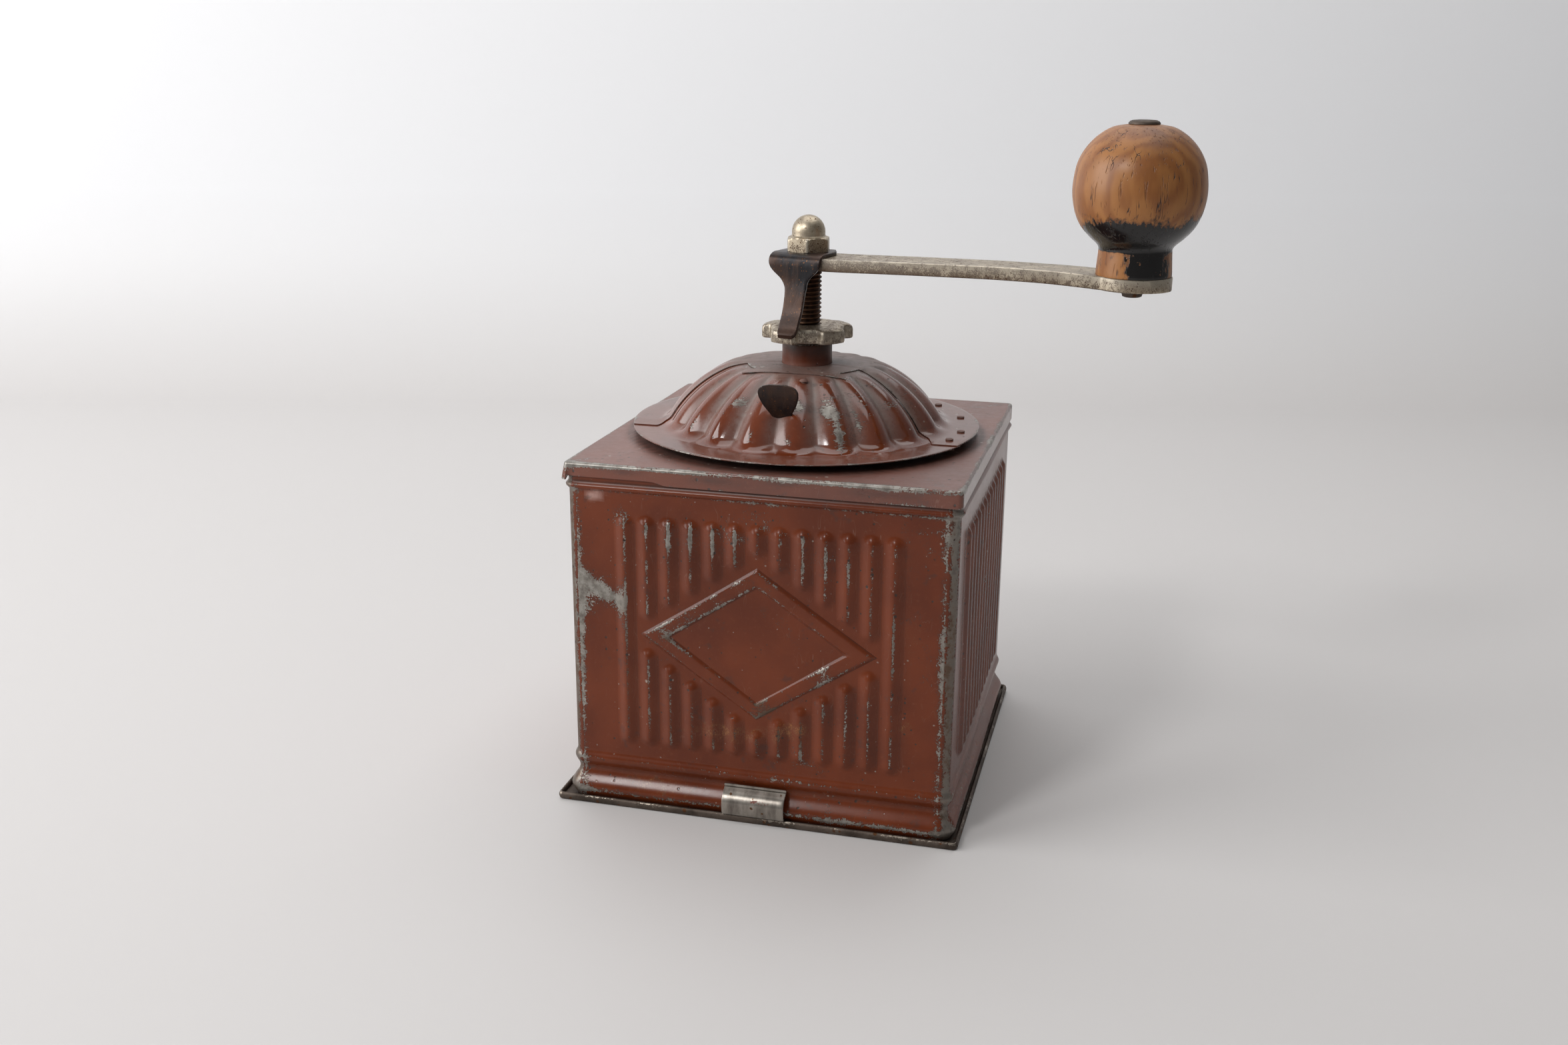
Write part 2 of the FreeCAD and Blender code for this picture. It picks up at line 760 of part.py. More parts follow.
def spider_rivets():
    """Rivets through cover, spider and funnel."""
    low = spider_bottom - sheet
    rivets = []
    for angle in spider_rivet_angles:
        x, y = on_circle(spider_rivet_circle, angle)
        shank = tube_z(rivet_radius, low - rivet_head_height, cover_top + rivet_head_height, x, y)
        heads = [tube_z(rivet_head_radius, cover_top, cover_top + rivet_head_height, x, y),
                 tube_z(rivet_head_radius, low - rivet_head_height, low, x, y)]
        rivets.append(fused([shank] + heads))
    return joined(rivets)


def hopper_funnel():
    """Tin funnel from the hopper's mouth to the burrs, with a flange at each end."""
    top = spider_bottom
    slant = 1.4 * sheet
    profile = [(spider_outer, top - sheet), (spider_outer, top), (mouth_radius, top),
               (burr_mouth_radius, funnel_bottom + sheet), (burr_mouth_radius, funnel_bottom),
               (burr_flange_radius, funnel_bottom), (burr_flange_radius, funnel_bottom + sheet),
               (burr_mouth_radius + slant, funnel_bottom + sheet), (mouth_radius + slant, top - sheet)]
    holes = []
    for angle in spider_rivet_angles:
        x, y = on_circle(spider_rivet_circle, angle)
        holes.append(tube_z(rivet_radius, top - 2 * sheet, top + overcut, x, y))
    for x in (-screw_x, screw_x):
        holes.append(tube_z(screw_radius, funnel_bottom - overcut, funnel_bottom + overcut, x, 0))
    return revolved(profile).cut(holes)


def cone_groove(r_low, z_low, r_high, z_high, half_width, twist):
    """A slanting square bar laid along a cone, used to cut one tooth gap."""
    x0, y0 = on_circle(r_low, -twist)
    x1, y1 = on_circle(r_high, twist)
    start = Vector(x0, y0, z_low)
    end = Vector(x1, y1, z_high)
    along = end - start
    length = along.Length
    corner = Vector(-half_width, -half_width, -0.15 * length)
    bar = Part.makeBox(2 * half_width, 2 * half_width, length * 1.3, corner)
    bar.rotate(ORIGIN, UP, 45)
    bar.Placement = FreeCAD.Placement(start, FreeCAD.Rotation(UP, along)).multiply(bar.Placement)
    return bar


def burr_ring():
    """Outer burr with a flange, an opening throat and cut teeth."""
    profile = [(burr_mouth_radius, funnel_bottom), (burr_flange_radius, funnel_bottom),
               (burr_flange_radius, flange_underside), (burr_body_radius, flange_underside),
               (burr_body_radius, ring_bottom), (burr_foot_radius, ring_bottom),
               (burr_throat_radius, ring_throat)]
    ring = revolved(profile)
    cuts = []
    groove = cone_groove(burr_foot_radius, ring_bottom, burr_throat_radius, ring_throat,
                         ring_tooth_half, ring_tooth_twist)
    for i in range(ring_tooth_count):
        cuts.append(turned(groove, 360 / ring_tooth_count * i))
    for x in (-screw_x, screw_x):
        cuts.append(tube_z(screw_radius, ring_bottom, funnel_bottom + overcut, x, 0))
    return ring.cut(cuts)


def inner_burr():
    """Inner burr pinned to the spindle: steep breaker above, fine teeth below."""
    neck_radius = spindle_radius + inner_burr_wall
    throat_radius = burr_throat_radius - burr_gap
    foot_radius = burr_foot_radius - burr_gap
    profile = [(shaft_bore, burr_top), (neck_radius, burr_top), (throat_radius, ring_throat),
               (foot_radius, ring_bottom), (foot_radius, burr_bottom), (shaft_bore, burr_bottom)]
    burr = revolved(profile)
    groove = cone_groove(foot_radius, ring_bottom, neck_radius + inner_tooth_half, burr_top,
                         inner_tooth_half, inner_tooth_twist)
    cuts = [turned(groove, 360 / inner_tooth_count * i) for i in range(inner_tooth_count)]
    cuts.append(pin_rod(2 * burr_foot_radius))
    return burr.cut(cuts)


def pin_rod(half_length):
    """The rod of the burr pin, along X."""
    start = Vector(-half_length, 0, burr_pin_level)
    return Part.makeCylinder(burr_pin_radius, 2 * half_length, start, Vector(1, 0, 0))


def burr_pin():
    """Pin through the spindle and the inner burr."""
    return pin_rod(burr_foot_radius - burr_gap - burr_pin_inset)


def burr_bridge():
    """Strap under the burrs that carries the lower bush."""
    leg_x = bridge_leg_x
    foot_z = flange_underside - bridge_sheet / 2
    bar_z = bridge_bottom + bridge_sheet / 2
    line = [(burr_flange_radius, foot_z), (leg_x, foot_z), (leg_x, bar_z), (-leg_x, bar_z), (-leg_x, foot_z),
            (-burr_flange_radius, foot_z)]
    half = bridge_width / 2
    face = strip_face(line, bridge_sheet, lambda x, z: Vector(x, -half, z))
    bridge = face.extrude(Vector(0, bridge_width, 0))
    stem_radius = lower_bush_radius - lower_bush_shoulder
    holes = [tube_z(stem_radius, bridge_bottom - overcut, bridge_bottom + 2 * bridge_sheet)]
    for x in (-screw_x, screw_x):
        holes.append(tube_z(screw_radius, foot_z - bridge_sheet, foot_z + bridge_sheet, x, 0))
    return bridge.cut(holes)


def lower_bush():
    """Shouldered bush for the spindle's lower journal."""
    stem_radius = lower_bush_radius - lower_bush_shoulder
    top = lower_bush_bottom + lower_bush_height
    body = tube_z(stem_radius, lower_bush_bottom, top)
    shoulder = tube_z(lower_bush_radius, bridge_bottom + bridge_sheet, top)
    bore = tube_z(journal_radius + running, lower_bush_bottom - overcut, burr_bottom)
    return fused([body, shoulder]).cut(bore)


def hexagon(flats, bottom, top, x=0.0, y=0.0, turn=0.0):
    """An upright hexagon bar."""
    radius = flats / math.sqrt(3)
    corners = []
    for i in range(6):
        dx, dy = on_circle(radius, 60 * i + turn)
        corners.append(Vector(x + dx, y + dy, bottom))
    face = Part.Face(Part.makePolygon(corners + [corners[0]]))
    return face.extrude(Vector(0, 0, top - bottom))


def ring_screws():
    """Two slotted screws through funnel, burr ring and bridge."""
    head_bottom = funnel_bottom + sheet
    head_top = head_bottom + screw_head_height
    tail = flange_underside - bridge_sheet - screw_nut_height - screw_tail
    screws = []
    for x in (-screw_x, screw_x):
        shank = tube_z(screw_radius, tail, head_bottom + weld, x, 0)
        head = tube_z(screw_head_radius, head_bottom, head_top, x, 0)
        slot = box((x - screw_head_radius, -screw_slot_half, head_top - screw_slot_depth),
                   (x + screw_head_radius, screw_slot_half, head_top + overcut))
        screws.append(fused([shank, head]).cut(slot))
    return joined(screws)


def ring_nuts():
    """Hexagon nuts under the bridge's feet."""
    top = flange_underside - bridge_sheet
    nuts = []
    for x in (-screw_x, screw_x):
        nut = hexagon(screw_nut_flats, top - screw_nut_height, top, x, 0, 30)
        nuts.append(nut.cut(tube_z(screw_radius, top - 2 * screw_nut_height, top + overcut, x, 0)))
    return joined(nuts)


def spindle():
    """Shaft with a lower journal, a threaded upper length, a square for the arm and a tip for the cap nut."""
    tail = lower_bush_bottom - sheet
    shoulder = burr_bottom - touch_gap
    profile = [(0, tail), (journal_radius, tail), (journal_radius, shoulder), (spindle_radius, shoulder)]
    z = bush_top
    while z + thread_pitch < arm_bottom - touch_gap:
        profile += [(spindle_radius, z), (spindle_radius - thread_depth, z + thread_pitch / 2)]
        z += thread_pitch
    profile += [(spindle_radius, z), (spindle_radius, arm_bottom), (0, arm_bottom)]
    shaft = revolved(profile)
    half = square_side / 2
    square = turned(box((-half, -half, arm_bottom - weld), (half, half, arm_top)), crank_angle)
    tip = tube_z(spindle_tip_radius, arm_top - weld, cap_hex_top)
    return fused([shaft, square, tip]).cut(pin_rod(2 * burr_foot_radius))


def thrust_washer():
    """Loose washer between the neck and the adjusting nut."""
    disc = tube_z(washer_radius, bush_top, washer_top)
    return disc.cut(tube_z(shaft_bore, bush_top - overcut, washer_top + overcut))


def adjusting_nut():
    """Notched wheel on the spindle's thread."""
    disc = tube_z(nut_root_radius, washer_top, nut_top)
    lobes = []
    for i in range(nut_lobes):
        middle = nut_first_lobe + 360 / nut_lobes * i
        x0, y0 = on_circle(2 * nut_radius, middle - nut_lobe_angle / 2)
        x1, y1 = on_circle(2 * nut_radius, middle + nut_lobe_angle / 2)
        corners = [Vector(0, 0, washer_top), Vector(x0, y0, washer_top), Vector(x1, y1, washer_top)]
        wedge = Part.Face(Part.makePolygon(corners + [corners[0]])).extrude(Vector(0, 0, nut_height))
        lobes.append(wedge.common(tube_z(nut_radius, washer_top, nut_top)))
    wheel = fused([disc] + lobes)
    return wheel.cut(tube_z(shaft_bore, washer_top - overcut, nut_top + overcut))


def arm_line():
    """The bowed middle line of the arm as (distance from the spindle, lift)."""
    return [(-arm_half_width - 1, 0.0), (arm_half_width + 1, 0.0), (0.36 * arm_reach, 0.6 * arm_bow),
            (0.62 * arm_reach, arm_bow), (0.8 * arm_reach, arm_bow),
            (arm_reach - arm_pad_radius - 1, pad_lift), (arm_reach + arm_pad_radius + 1, pad_lift)]


def crank_arm():
    """Flat bar with a rounded end at the spindle and a round pad at the knob."""
    middle = arm_bottom + arm_thickness / 2
    width = 2 * arm_pad_radius + 2
    line = [(s, middle + lift) for s, lift in arm_line()]
    section = strip_face(line, arm_thickness, lambda s, z: Vector(s, -width / 2, z))
    strip = section.extrude(Vector(0, width, 0))
    low = arm_bottom - arm_thickness
    high = arm_top + arm_thickness
    waist_x = 0.74 * arm_reach
    end_x = arm_reach - arm_pad_radius * 0.6
    outline = [(0, -arm_half_width), (waist_x, -arm_waist_half), (end_x, -arm_pad_radius * 0.8),
               (end_x, arm_pad_radius * 0.8), (waist_x, arm_waist_half), (0, arm_half_width)]
    corners = [Vector(x, y, low) for x, y in outline]
    blade = Part.Face(Part.makePolygon(corners + [corners[0]])).extrude(Vector(0, 0, high - low))
    ends = [tube_z(arm_half_width, low, high), tube_z(arm_pad_radius, low, high, arm_reach, 0)]
    shape = fused([blade] + ends)
    half = square_side / 2 + running
    holes = [box((-half, -half, low), (half, half, high)), tube_z(knob_pin_radius, low, high, arm_reach, 0)]
    return turned(strip.common(shape).cut(holes), crank_angle)


def lock_strap():
    """Fixed head of the lock spring: plate under the cap nut and a front flange that narrows to a stem."""
    plate = box((-strap_half_length, -strap_front, arm_top), (strap_half_length, strap_back, strap_top))
    stem_bottom = arm_bottom - strap_drop
    front = -strap_front
    lip_half = strap_half_length
    stem_half = strap_stem_half
    shoulder = arm_top - strap_shoulder
    waist = stem_half + strap_curve
    waist_z = shoulder - strap_curve
    edges = [
        Part.makeLine(Vector(-lip_half, front, strap_top), Vector(lip_half, front, strap_top)),
        Part.makeLine(Vector(lip_half, front, strap_top), Vector(lip_half, front, shoulder)),
        Part.Arc(Vector(lip_half, front, shoulder), Vector(waist, front, waist_z),
                 Vector(stem_half, front, stem_bottom)).toShape(),
        Part.makeLine(Vector(stem_half, front, stem_bottom), Vector(-stem_half, front, stem_bottom)),
        Part.Arc(Vector(-stem_half, front, stem_bottom), Vector(-waist, front, waist_z),
                 Vector(-lip_half, front, shoulder)).toShape(),
        Part.makeLine(Vector(-lip_half, front, shoulder), Vector(-lip_half, front, strap_top)),
    ]
    flange = Part.Face(Part.Wire(edges)).extrude(Vector(0, strap_sheet, 0))
    hole = tube_z(spindle_tip_radius + running, arm_bottom, cap_hex_top)
    head = fused([plate, flange])
    fold = [e for e in top_edges(head, strap_top) if all(abs(v.Y - front) < 1e-4 for v in e.Vertexes)]
    return turned(head.makeFillet(0.8 * strap_sheet, fold).cut(hole), crank_angle)


def lock_tongue():
    """Flexing end of the lock spring, which lies against a lobe of the notched wheel."""
    start_z = arm_bottom - strap_drop - touch_gap
    start_y = -strap_front + strap_sheet / 2
    face_y = -nut_radius - touch_gap - strap_sheet / 2
    knee_y = face_y - tongue_knee
    knee_z = nut_top + tongue_knee
    lip_z = nut_top - tongue_reach - tongue_lip
    lean = (start_y - knee_y) / (start_z - knee_z)
    line = [(start_y + overcut * lean, start_z + overcut), (knee_y, knee_z), (face_y, nut_top - tongue_reach),
            (face_y - tongue_lip_out, lip_z)]
    strip = strip_along_x(line, strap_sheet, -strap_stem_half, strap_stem_half)
    tip_z = nut_top - tongue_reach
    end_z = lip_z - strap_sheet
    taper = [(-strap_stem_half, start_z), (strap_stem_half, start_z), (tongue_tip_half, tip_z),
             (tongue_end_half, end_z), (-tongue_end_half, end_z), (-tongue_tip_half, tip_z)]
    corners = [Vector(x, -2 * nut_radius, z) for x, z in taper]
    keep = Part.Face(Part.makePolygon(corners + [corners[0]])).extrude(Vector(0, 2 * nut_radius, 0))
    return turned(strip.common(keep), crank_angle)


def cap_nut():
    """Domed hexagon nut on the spindle's tip."""
    hexa = hexagon(cap_flats, strap_top, cap_hex_top, turn=cap_turn)
    corner_radius = cap_flats / math.sqrt(3)
    wide = corner_radius - cap_bevel + cap_bevel_slope
    bevel = Part.makeCone(wide, corner_radius - cap_bevel, cap_hex_height, Vector(0, 0, strap_top), UP)
    hexa = hexa.common(bevel)
    dome_z = cap_hex_top + cap_dome_height - cap_dome_radius
    stem = tube_z(cap_dome_radius, cap_hex_top - weld, dome_z)
    dome = Part.makeSphere(cap_dome_radius, Vector(0, 0, dome_z))
    dome = dome.common(tube_z(cap_dome_radius, cap_hex_top - weld, cap_hex_top + 2 * cap_dome_height))
    bore = tube_z(spindle_tip_radius, strap_top - overcut, cap_hex_top)
    return fused([hexa, stem, dome]).cut(bore)


def knob():
    """Turned wooden ball on a short neck, bored for its pin."""
    belly_z = knob_seat + knob_neck_height + knob_belly_share * (knob_height - knob_neck_height)
    bore = knob_pin_radius + running
    waist = knob_neck_radius - knob_waist
    neck_top = knob_seat + knob_neck_height
    crown_r = knob_pin_radius + pin_head_wall + slip

    def bulge(r_end, z_end):
        dr = knob_radius - r_end
        dz = z_end - belly_z
        rho = (dr * dr + dz * dz) / (2 * dr)
        angle = math.atan2(dz, r_end - knob_radius + rho) / 2
        return Vector(knob_radius - rho + rho * math.cos(angle), 0, belly_z + rho * math.sin(angle))
    belly = Vector(knob_radius, 0, belly_z)
    low = Vector(waist, 0, neck_top)
    high = Vector(crown_r, 0, knob_top)
    edges = [
        Part.makeLine(Vector(bore, 0, knob_seat), Vector(knob_neck_radius, 0, knob_seat)),
        Part.makeLine(Vector(knob_neck_radius, 0, knob_seat), low),
        Part.Arc(low, bulge(waist, neck_top), belly).toShape(),
        Part.Arc(belly, bulge(crown_r, knob_top), high).toShape(),
        Part.makeLine(high, Vector(bore, 0, knob_top)),
        Part.makeLine(Vector(bore, 0, knob_top), Vector(bore, 0, knob_seat)),
    ]
    ball = Part.Face(Part.Wire(edges)).revolve(ORIGIN, UP, 360)
    ball.translate(Vector(arm_reach, 0, 0))
    return turned(ball, crank_angle)


def knob_pin():
    """Rivet that holds the knob on the arm's pad."""
    head_bottom = knob_top + running
    head_top = head_bottom + pin_head_height
    tail = pad_bottom - pin_stub
    shank = tube_z(knob_pin_radius, tail, head_bottom + weld, arm_reach, 0)
    head = tube_z(knob_pin_radius + pin_head_wall, head_bottom, head_top, arm_reach, 0)
    head = head.makeFillet(pin_head_round, top_edges(head, head_top))
    peen = tube_z(knob_pin_radius + pin_peen, tail, pad_bottom, arm_reach, 0)
    return turned(fused([shank, head, peen]), crank_angle)


PIECES = [body_shell, top_cover, hopper_cowl, cowl_rivets, hopper_door, door_tab, tab_rivet, neck_bush,
          hopper_spider, spider_rivets, hopper_funnel, burr_ring, inner_burr, burr_pin, burr_bridge,
          lower_bush, ring_screws, ring_nuts, spindle, thrust_washer, adjusting_nut, crank_arm,
          lock_strap, lock_tongue, cap_nut, knob, knob_pin, base_plate, base_clip, body_hinge_leaf,
          base_hinge_leaf, hinge_pin, leaf_rivets]

os.makedirs("parts", exist_ok=True)
for piece in PIECES:
    shape = piece()
    solids = shape.Solids
    print(piece.__name__, len(solids), shape.isValid(), round(shape.Volume, 1))
    if len(solids) == 1:
        shape = solids[0]
    shape.exportStep("parts/" + piece.__name__ + ".step")
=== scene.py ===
"""Looks of a hand crank coffee grinder, laid over its CAD frame.

Shapes are written in millimetres and put into the meshes in metres; +Z is up and the front faces -Y.
"""
import bmesh
import bpy
import numpy as np
from mathutils import Matrix, Vector


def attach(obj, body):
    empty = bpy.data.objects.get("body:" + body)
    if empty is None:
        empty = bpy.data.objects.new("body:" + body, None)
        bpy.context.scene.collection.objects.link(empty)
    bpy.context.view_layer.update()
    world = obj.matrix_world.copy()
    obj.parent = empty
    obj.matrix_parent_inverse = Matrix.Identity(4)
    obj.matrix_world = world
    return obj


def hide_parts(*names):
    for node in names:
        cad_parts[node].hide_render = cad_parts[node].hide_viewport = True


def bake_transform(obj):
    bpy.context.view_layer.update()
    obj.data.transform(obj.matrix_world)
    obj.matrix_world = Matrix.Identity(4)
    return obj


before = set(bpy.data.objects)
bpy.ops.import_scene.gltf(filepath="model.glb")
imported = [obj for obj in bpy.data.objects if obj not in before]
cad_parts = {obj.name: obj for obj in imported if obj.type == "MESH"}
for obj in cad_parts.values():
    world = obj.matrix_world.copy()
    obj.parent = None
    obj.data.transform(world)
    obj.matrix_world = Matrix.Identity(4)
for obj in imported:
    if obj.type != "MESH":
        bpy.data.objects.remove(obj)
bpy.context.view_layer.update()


# Base plate
# A square of darkened steel sheet whose edge is rolled into a thin rim.
# It closes the box from below and swings down on a hinge at the back.

base_half_x = 58.4
base_half_y = 57.8
base_shift = -0.6
base_corner = 1.6
base_sheet = 0.7
rim_width = 1.3
rim_height = 2.2
sheet_dark = (0.05, 0.038, 0.030)
sheet_light = (0.125, 0.098, 0.08)
sheet_rust = (0.09, 0.038, 0.016)
sheet_bright = (0.30, 0.26, 0.215)


def surface(name, points, finish, wrap="", sharp=None, **masks):
    """A mesh from a grid of points: each face joins a point to its neighbours in the next row and column.

    Wrapping rows or columns joins the last to the first.  A mask is a grid that becomes a point attribute.
    Points that fall together, as at a pole, are merged, and the faces are turned outwards.
    """
    rows, columns = points.shape[:2]
    index = np.arange(rows * columns).reshape(rows, columns)
    if "columns" in wrap:
        index = np.concatenate([index, index[:, :1]], axis=1)
    if "rows" in wrap:
        index = np.concatenate([index, index[:1]], axis=0)
    quads = np.stack([index[:-1, :-1], index[:-1, 1:], index[1:, 1:], index[1:, :-1]], axis=-1)
    mesh = bpy.data.meshes.new(name)
    mesh.from_pydata((points.reshape(-1, 3) / 1000).tolist(), [], quads.reshape(-1, 4).tolist())
    for key, values in masks.items():
        layer = mesh.attributes.new(key, "FLOAT", "POINT")
        spread = np.broadcast_to(values, (rows, columns))
        layer.data.foreach_set("value", spread.astype(np.float32).ravel())
    work = bmesh.new()
    work.from_mesh(mesh)
    bmesh.ops.remove_doubles(work, verts=work.verts, dist=1e-6)
    bmesh.ops.dissolve_degenerate(work, edges=work.edges, dist=1e-7)
    bmesh.ops.recalc_face_normals(work, faces=work.faces)
    work.to_mesh(mesh)
    work.free()
    mesh.shade_smooth()
    if sharp is not None:
        mesh.set_sharp_from_angle(angle=np.radians(sharp))
    mesh.materials.append(finish)
    piece = bpy.data.objects.new(name, mesh)
    bpy.context.scene.collection.objects.link(piece)
    return piece


def around(half_x, half_y, corner, shares, arc_steps=6):
    """A rounded rectangle walked from the front: each side at shares of its half length, then its corner.

    Each corner is a quarter circle.  Returns the points, the outward directions and the places along a side.
    """
    turn = np.linspace(0, np.pi / 2, arc_steps + 2)[1:-1, None]
    spots = []
    outs = []
    alongs = []
    for side in range(4):
        angle = side * np.pi / 2
        out = np.array([np.sin(angle), -np.cos(angle)])
        go = np.array([np.cos(angle), np.sin(angle)])
        half_out, half_go = (half_y, half_x) if side % 2 == 0 else (half_x, half_y)
        straight = half_go - corner
        run = shares[:, None] * straight * go + half_out * out
        bend = np.cos(turn) * out + np.sin(turn) * go
        spots += [run, straight * go + (half_out - corner) * out + corner * bend]
        outs += [np.broadcast_to(out, run.shape), bend]
        alongs += [shares * straight, np.full(arc_steps, half_go)]
    return np.concatenate(spots), np.concatenate(outs), np.concatenate(alongs)


def raised(flat, heights):
    """Rows of (x, y) points lifted to the given heights."""
    return np.dstack([flat, np.broadcast_to(heights, flat.shape[:2])])


def base_surface():
    """The sheet from its centre below, out and over the rim's half ellipse and back to its centre above."""
    edge, out, along = around(base_half_x, base_half_y, base_corner, np.linspace(-1, 1, 41))
    edge = edge + np.array([base_shift, 0.0])
    roll = np.linspace(-np.pi / 2, 1.05 * np.pi, 18)
    inset = rim_width / 2 * (1 - np.cos(roll))
    height = rim_height / 2 * (1 + np.sin(roll))
    rim = raised(edge[None] - inset[:, None, None] * out, height[:, None])
    inner = edge - 1.1 * rim_width * out
    shares = np.array([0.0, 0.5, 0.94])[:, None, None]
    below = raised(shares * inner, 0.0)
    above = raised(shares[::-1] * inner, base_sheet)
    bright = 0.42 + 0.16 * np.sin(along / 9 + 1) * np.sin(along / 4)
    flat = np.zeros(len(shares))
    rubbed = np.concatenate([flat, np.sin(np.clip(roll + 0.6, 0, np.pi)), flat])
    return np.concatenate([below, rim, above]), rubbed[:, None] * bright


class Nodes:
    """The nodes of a shader tree as they are added and joined; place is where its noises are looked up."""

    def __init__(self, tree, place=None):
        self.tree = tree
        self.place = place

    def join(self, node, inputs):
        """Links each input that is a socket and sets the others; a colour is given without its alpha."""
        for key, value in inputs.items():
            if isinstance(value, bpy.types.NodeSocket):
                self.tree.links.new(value, node.inputs[key])
            elif node.inputs[key].type == "RGBA":
                node.inputs[key].default_value = (*value, 1)
            else:
                node.inputs[key].default_value = value

    def add(self, kind, inputs=None, **settings):
        """A node with its settings made and its inputs joined."""
        node = self.tree.nodes.new(kind)
        for key, value in settings.items():
            setattr(node, key, value)
        self.join(node, inputs or {})
        return node

    def maths(self, operation, *values):
        """One step of arithmetic."""
        return self.add("ShaderNodeMath", dict(enumerate(values)), operation=operation).outputs[0]

    def times(self, first, second):
        """The product of two values."""
        return self.maths("MULTIPLY", first, second)

    def plus(self, first, second):
        """The sum of two values."""
        return self.maths("ADD", first, second)

    def less(self, first, second):
        """The first value less the second."""
        return self.maths("SUBTRACT", first, second)

    def step(self, value, low, high):
        """A smooth step from nought at low to one at high."""
        limits = {"Value": value, "From Min": low, "From Max": high}
        return self.add("ShaderNodeMapRange", limits, interpolation_type="SMOOTHSTEP").outputs[0]

    def stretched(self, stretch):
        """The place, stretched by a factor along each axis where that is given."""
        if stretch is None:
            return self.place
        return self.add("ShaderNodeMapping", {"Vector": self.place, "Scale": stretch}).outputs[0]

    def noise(self, scale, detail=4.0, rough=0.55, stretch=None):
        """Cloudy noise about one half."""
        given = {"Vector": self.stretched(stretch), "Scale": scale, "Detail": detail, "Roughness": rough}
        return self.add("ShaderNodeTexNoise", given).outputs[0]


def group(name, inputs, outputs):
    """An empty node group with named sockets; gives its nodes, what it is given and where its results go."""
    tree = bpy.data.node_groups.new(name, "ShaderNodeTree")
    for label, start in inputs.items():
        kind = "NodeSocketVector" if start is None else "NodeSocketFloat"
        socket = tree.interface.new_socket(label, in_out="INPUT", socket_type=kind)
        if start is not None:
            socket.default_value = start
    for label in outputs:
        tree.interface.new_socket(label, in_out="OUTPUT", socket_type="NodeSocketFloat")
    given = tree.nodes.new("NodeGroupInput").outputs
    return Nodes(tree, given["Vector"]), given, tree.nodes.new("NodeGroupOutput")


def ragged_wear_group():
    """Where a coat has gone: wear plus cloudy noise passes a half; the rim is thin coat short of that."""
    inputs = {"Vector": None, "Wear": 0.0, "Scale": 300.0, "Spread": 1.0}
    nodes, given, result = group("ragged_wear", inputs, ("Bare", "Rim"))
    coarse = nodes.noise(given["Scale"], 5.0, 0.6)
    fine = nodes.noise(nodes.times(given["Scale"], 6.0), 4.0, 0.6)
    mixed = nodes.plus(nodes.times(coarse, 0.45), nodes.times(fine, 0.55))
    swing = nodes.times(nodes.less(mixed, 0.5), given["Spread"])
    level = nodes.plus(given["Wear"], swing)
    bare = nodes.step(level, 0.47, 0.53)
    near = nodes.step(level, 0.36, 0.47)
    nodes.join(result, {"Bare": bare, "Rim": nodes.less(near, bare)})
    return nodes.tree


def specks_group():
    """Small round spots: the cells of a scattered pattern whose own random number is under the amount."""
    inputs = {"Vector": None, "Scale": 900.0, "Amount": 0.2, "Size": 0.3}
    nodes, given, result = group("specks", inputs, ("Specks",))
    wander = nodes.add("ShaderNodeTexNoise", {"Vector": given["Vector"], "Scale": given["Scale"]})
    push = nodes.add("ShaderNodeVectorMath", {0: wander.outputs["Color"], "Scale": 0.0008}, operation="SCALE")
    moved = nodes.add("ShaderNodeVectorMath", {0: given["Vector"], 1: push.outputs[0]}, operation="ADD")
    cells = nodes.add("ShaderNodeTexVoronoi", {"Vector": moved.outputs[0], "Scale": given["Scale"]})
    own = nodes.add("ShaderNodeSeparateColor", {0: cells.outputs["Color"]})
    chosen = nodes.maths("LESS_THAN", own.outputs[0], given["Amount"])
    reach = nodes.times(given["Size"], nodes.plus(0.4, own.outputs[1]))
    spot = nodes.step(nodes.less(reach, cells.outputs["Distance"]), 0.0, 0.12)
    nodes.join(result, {"Specks": nodes.times(spot, chosen)})
    return nodes.tree


ragged_wear = ragged_wear_group()
specks = specks_group()


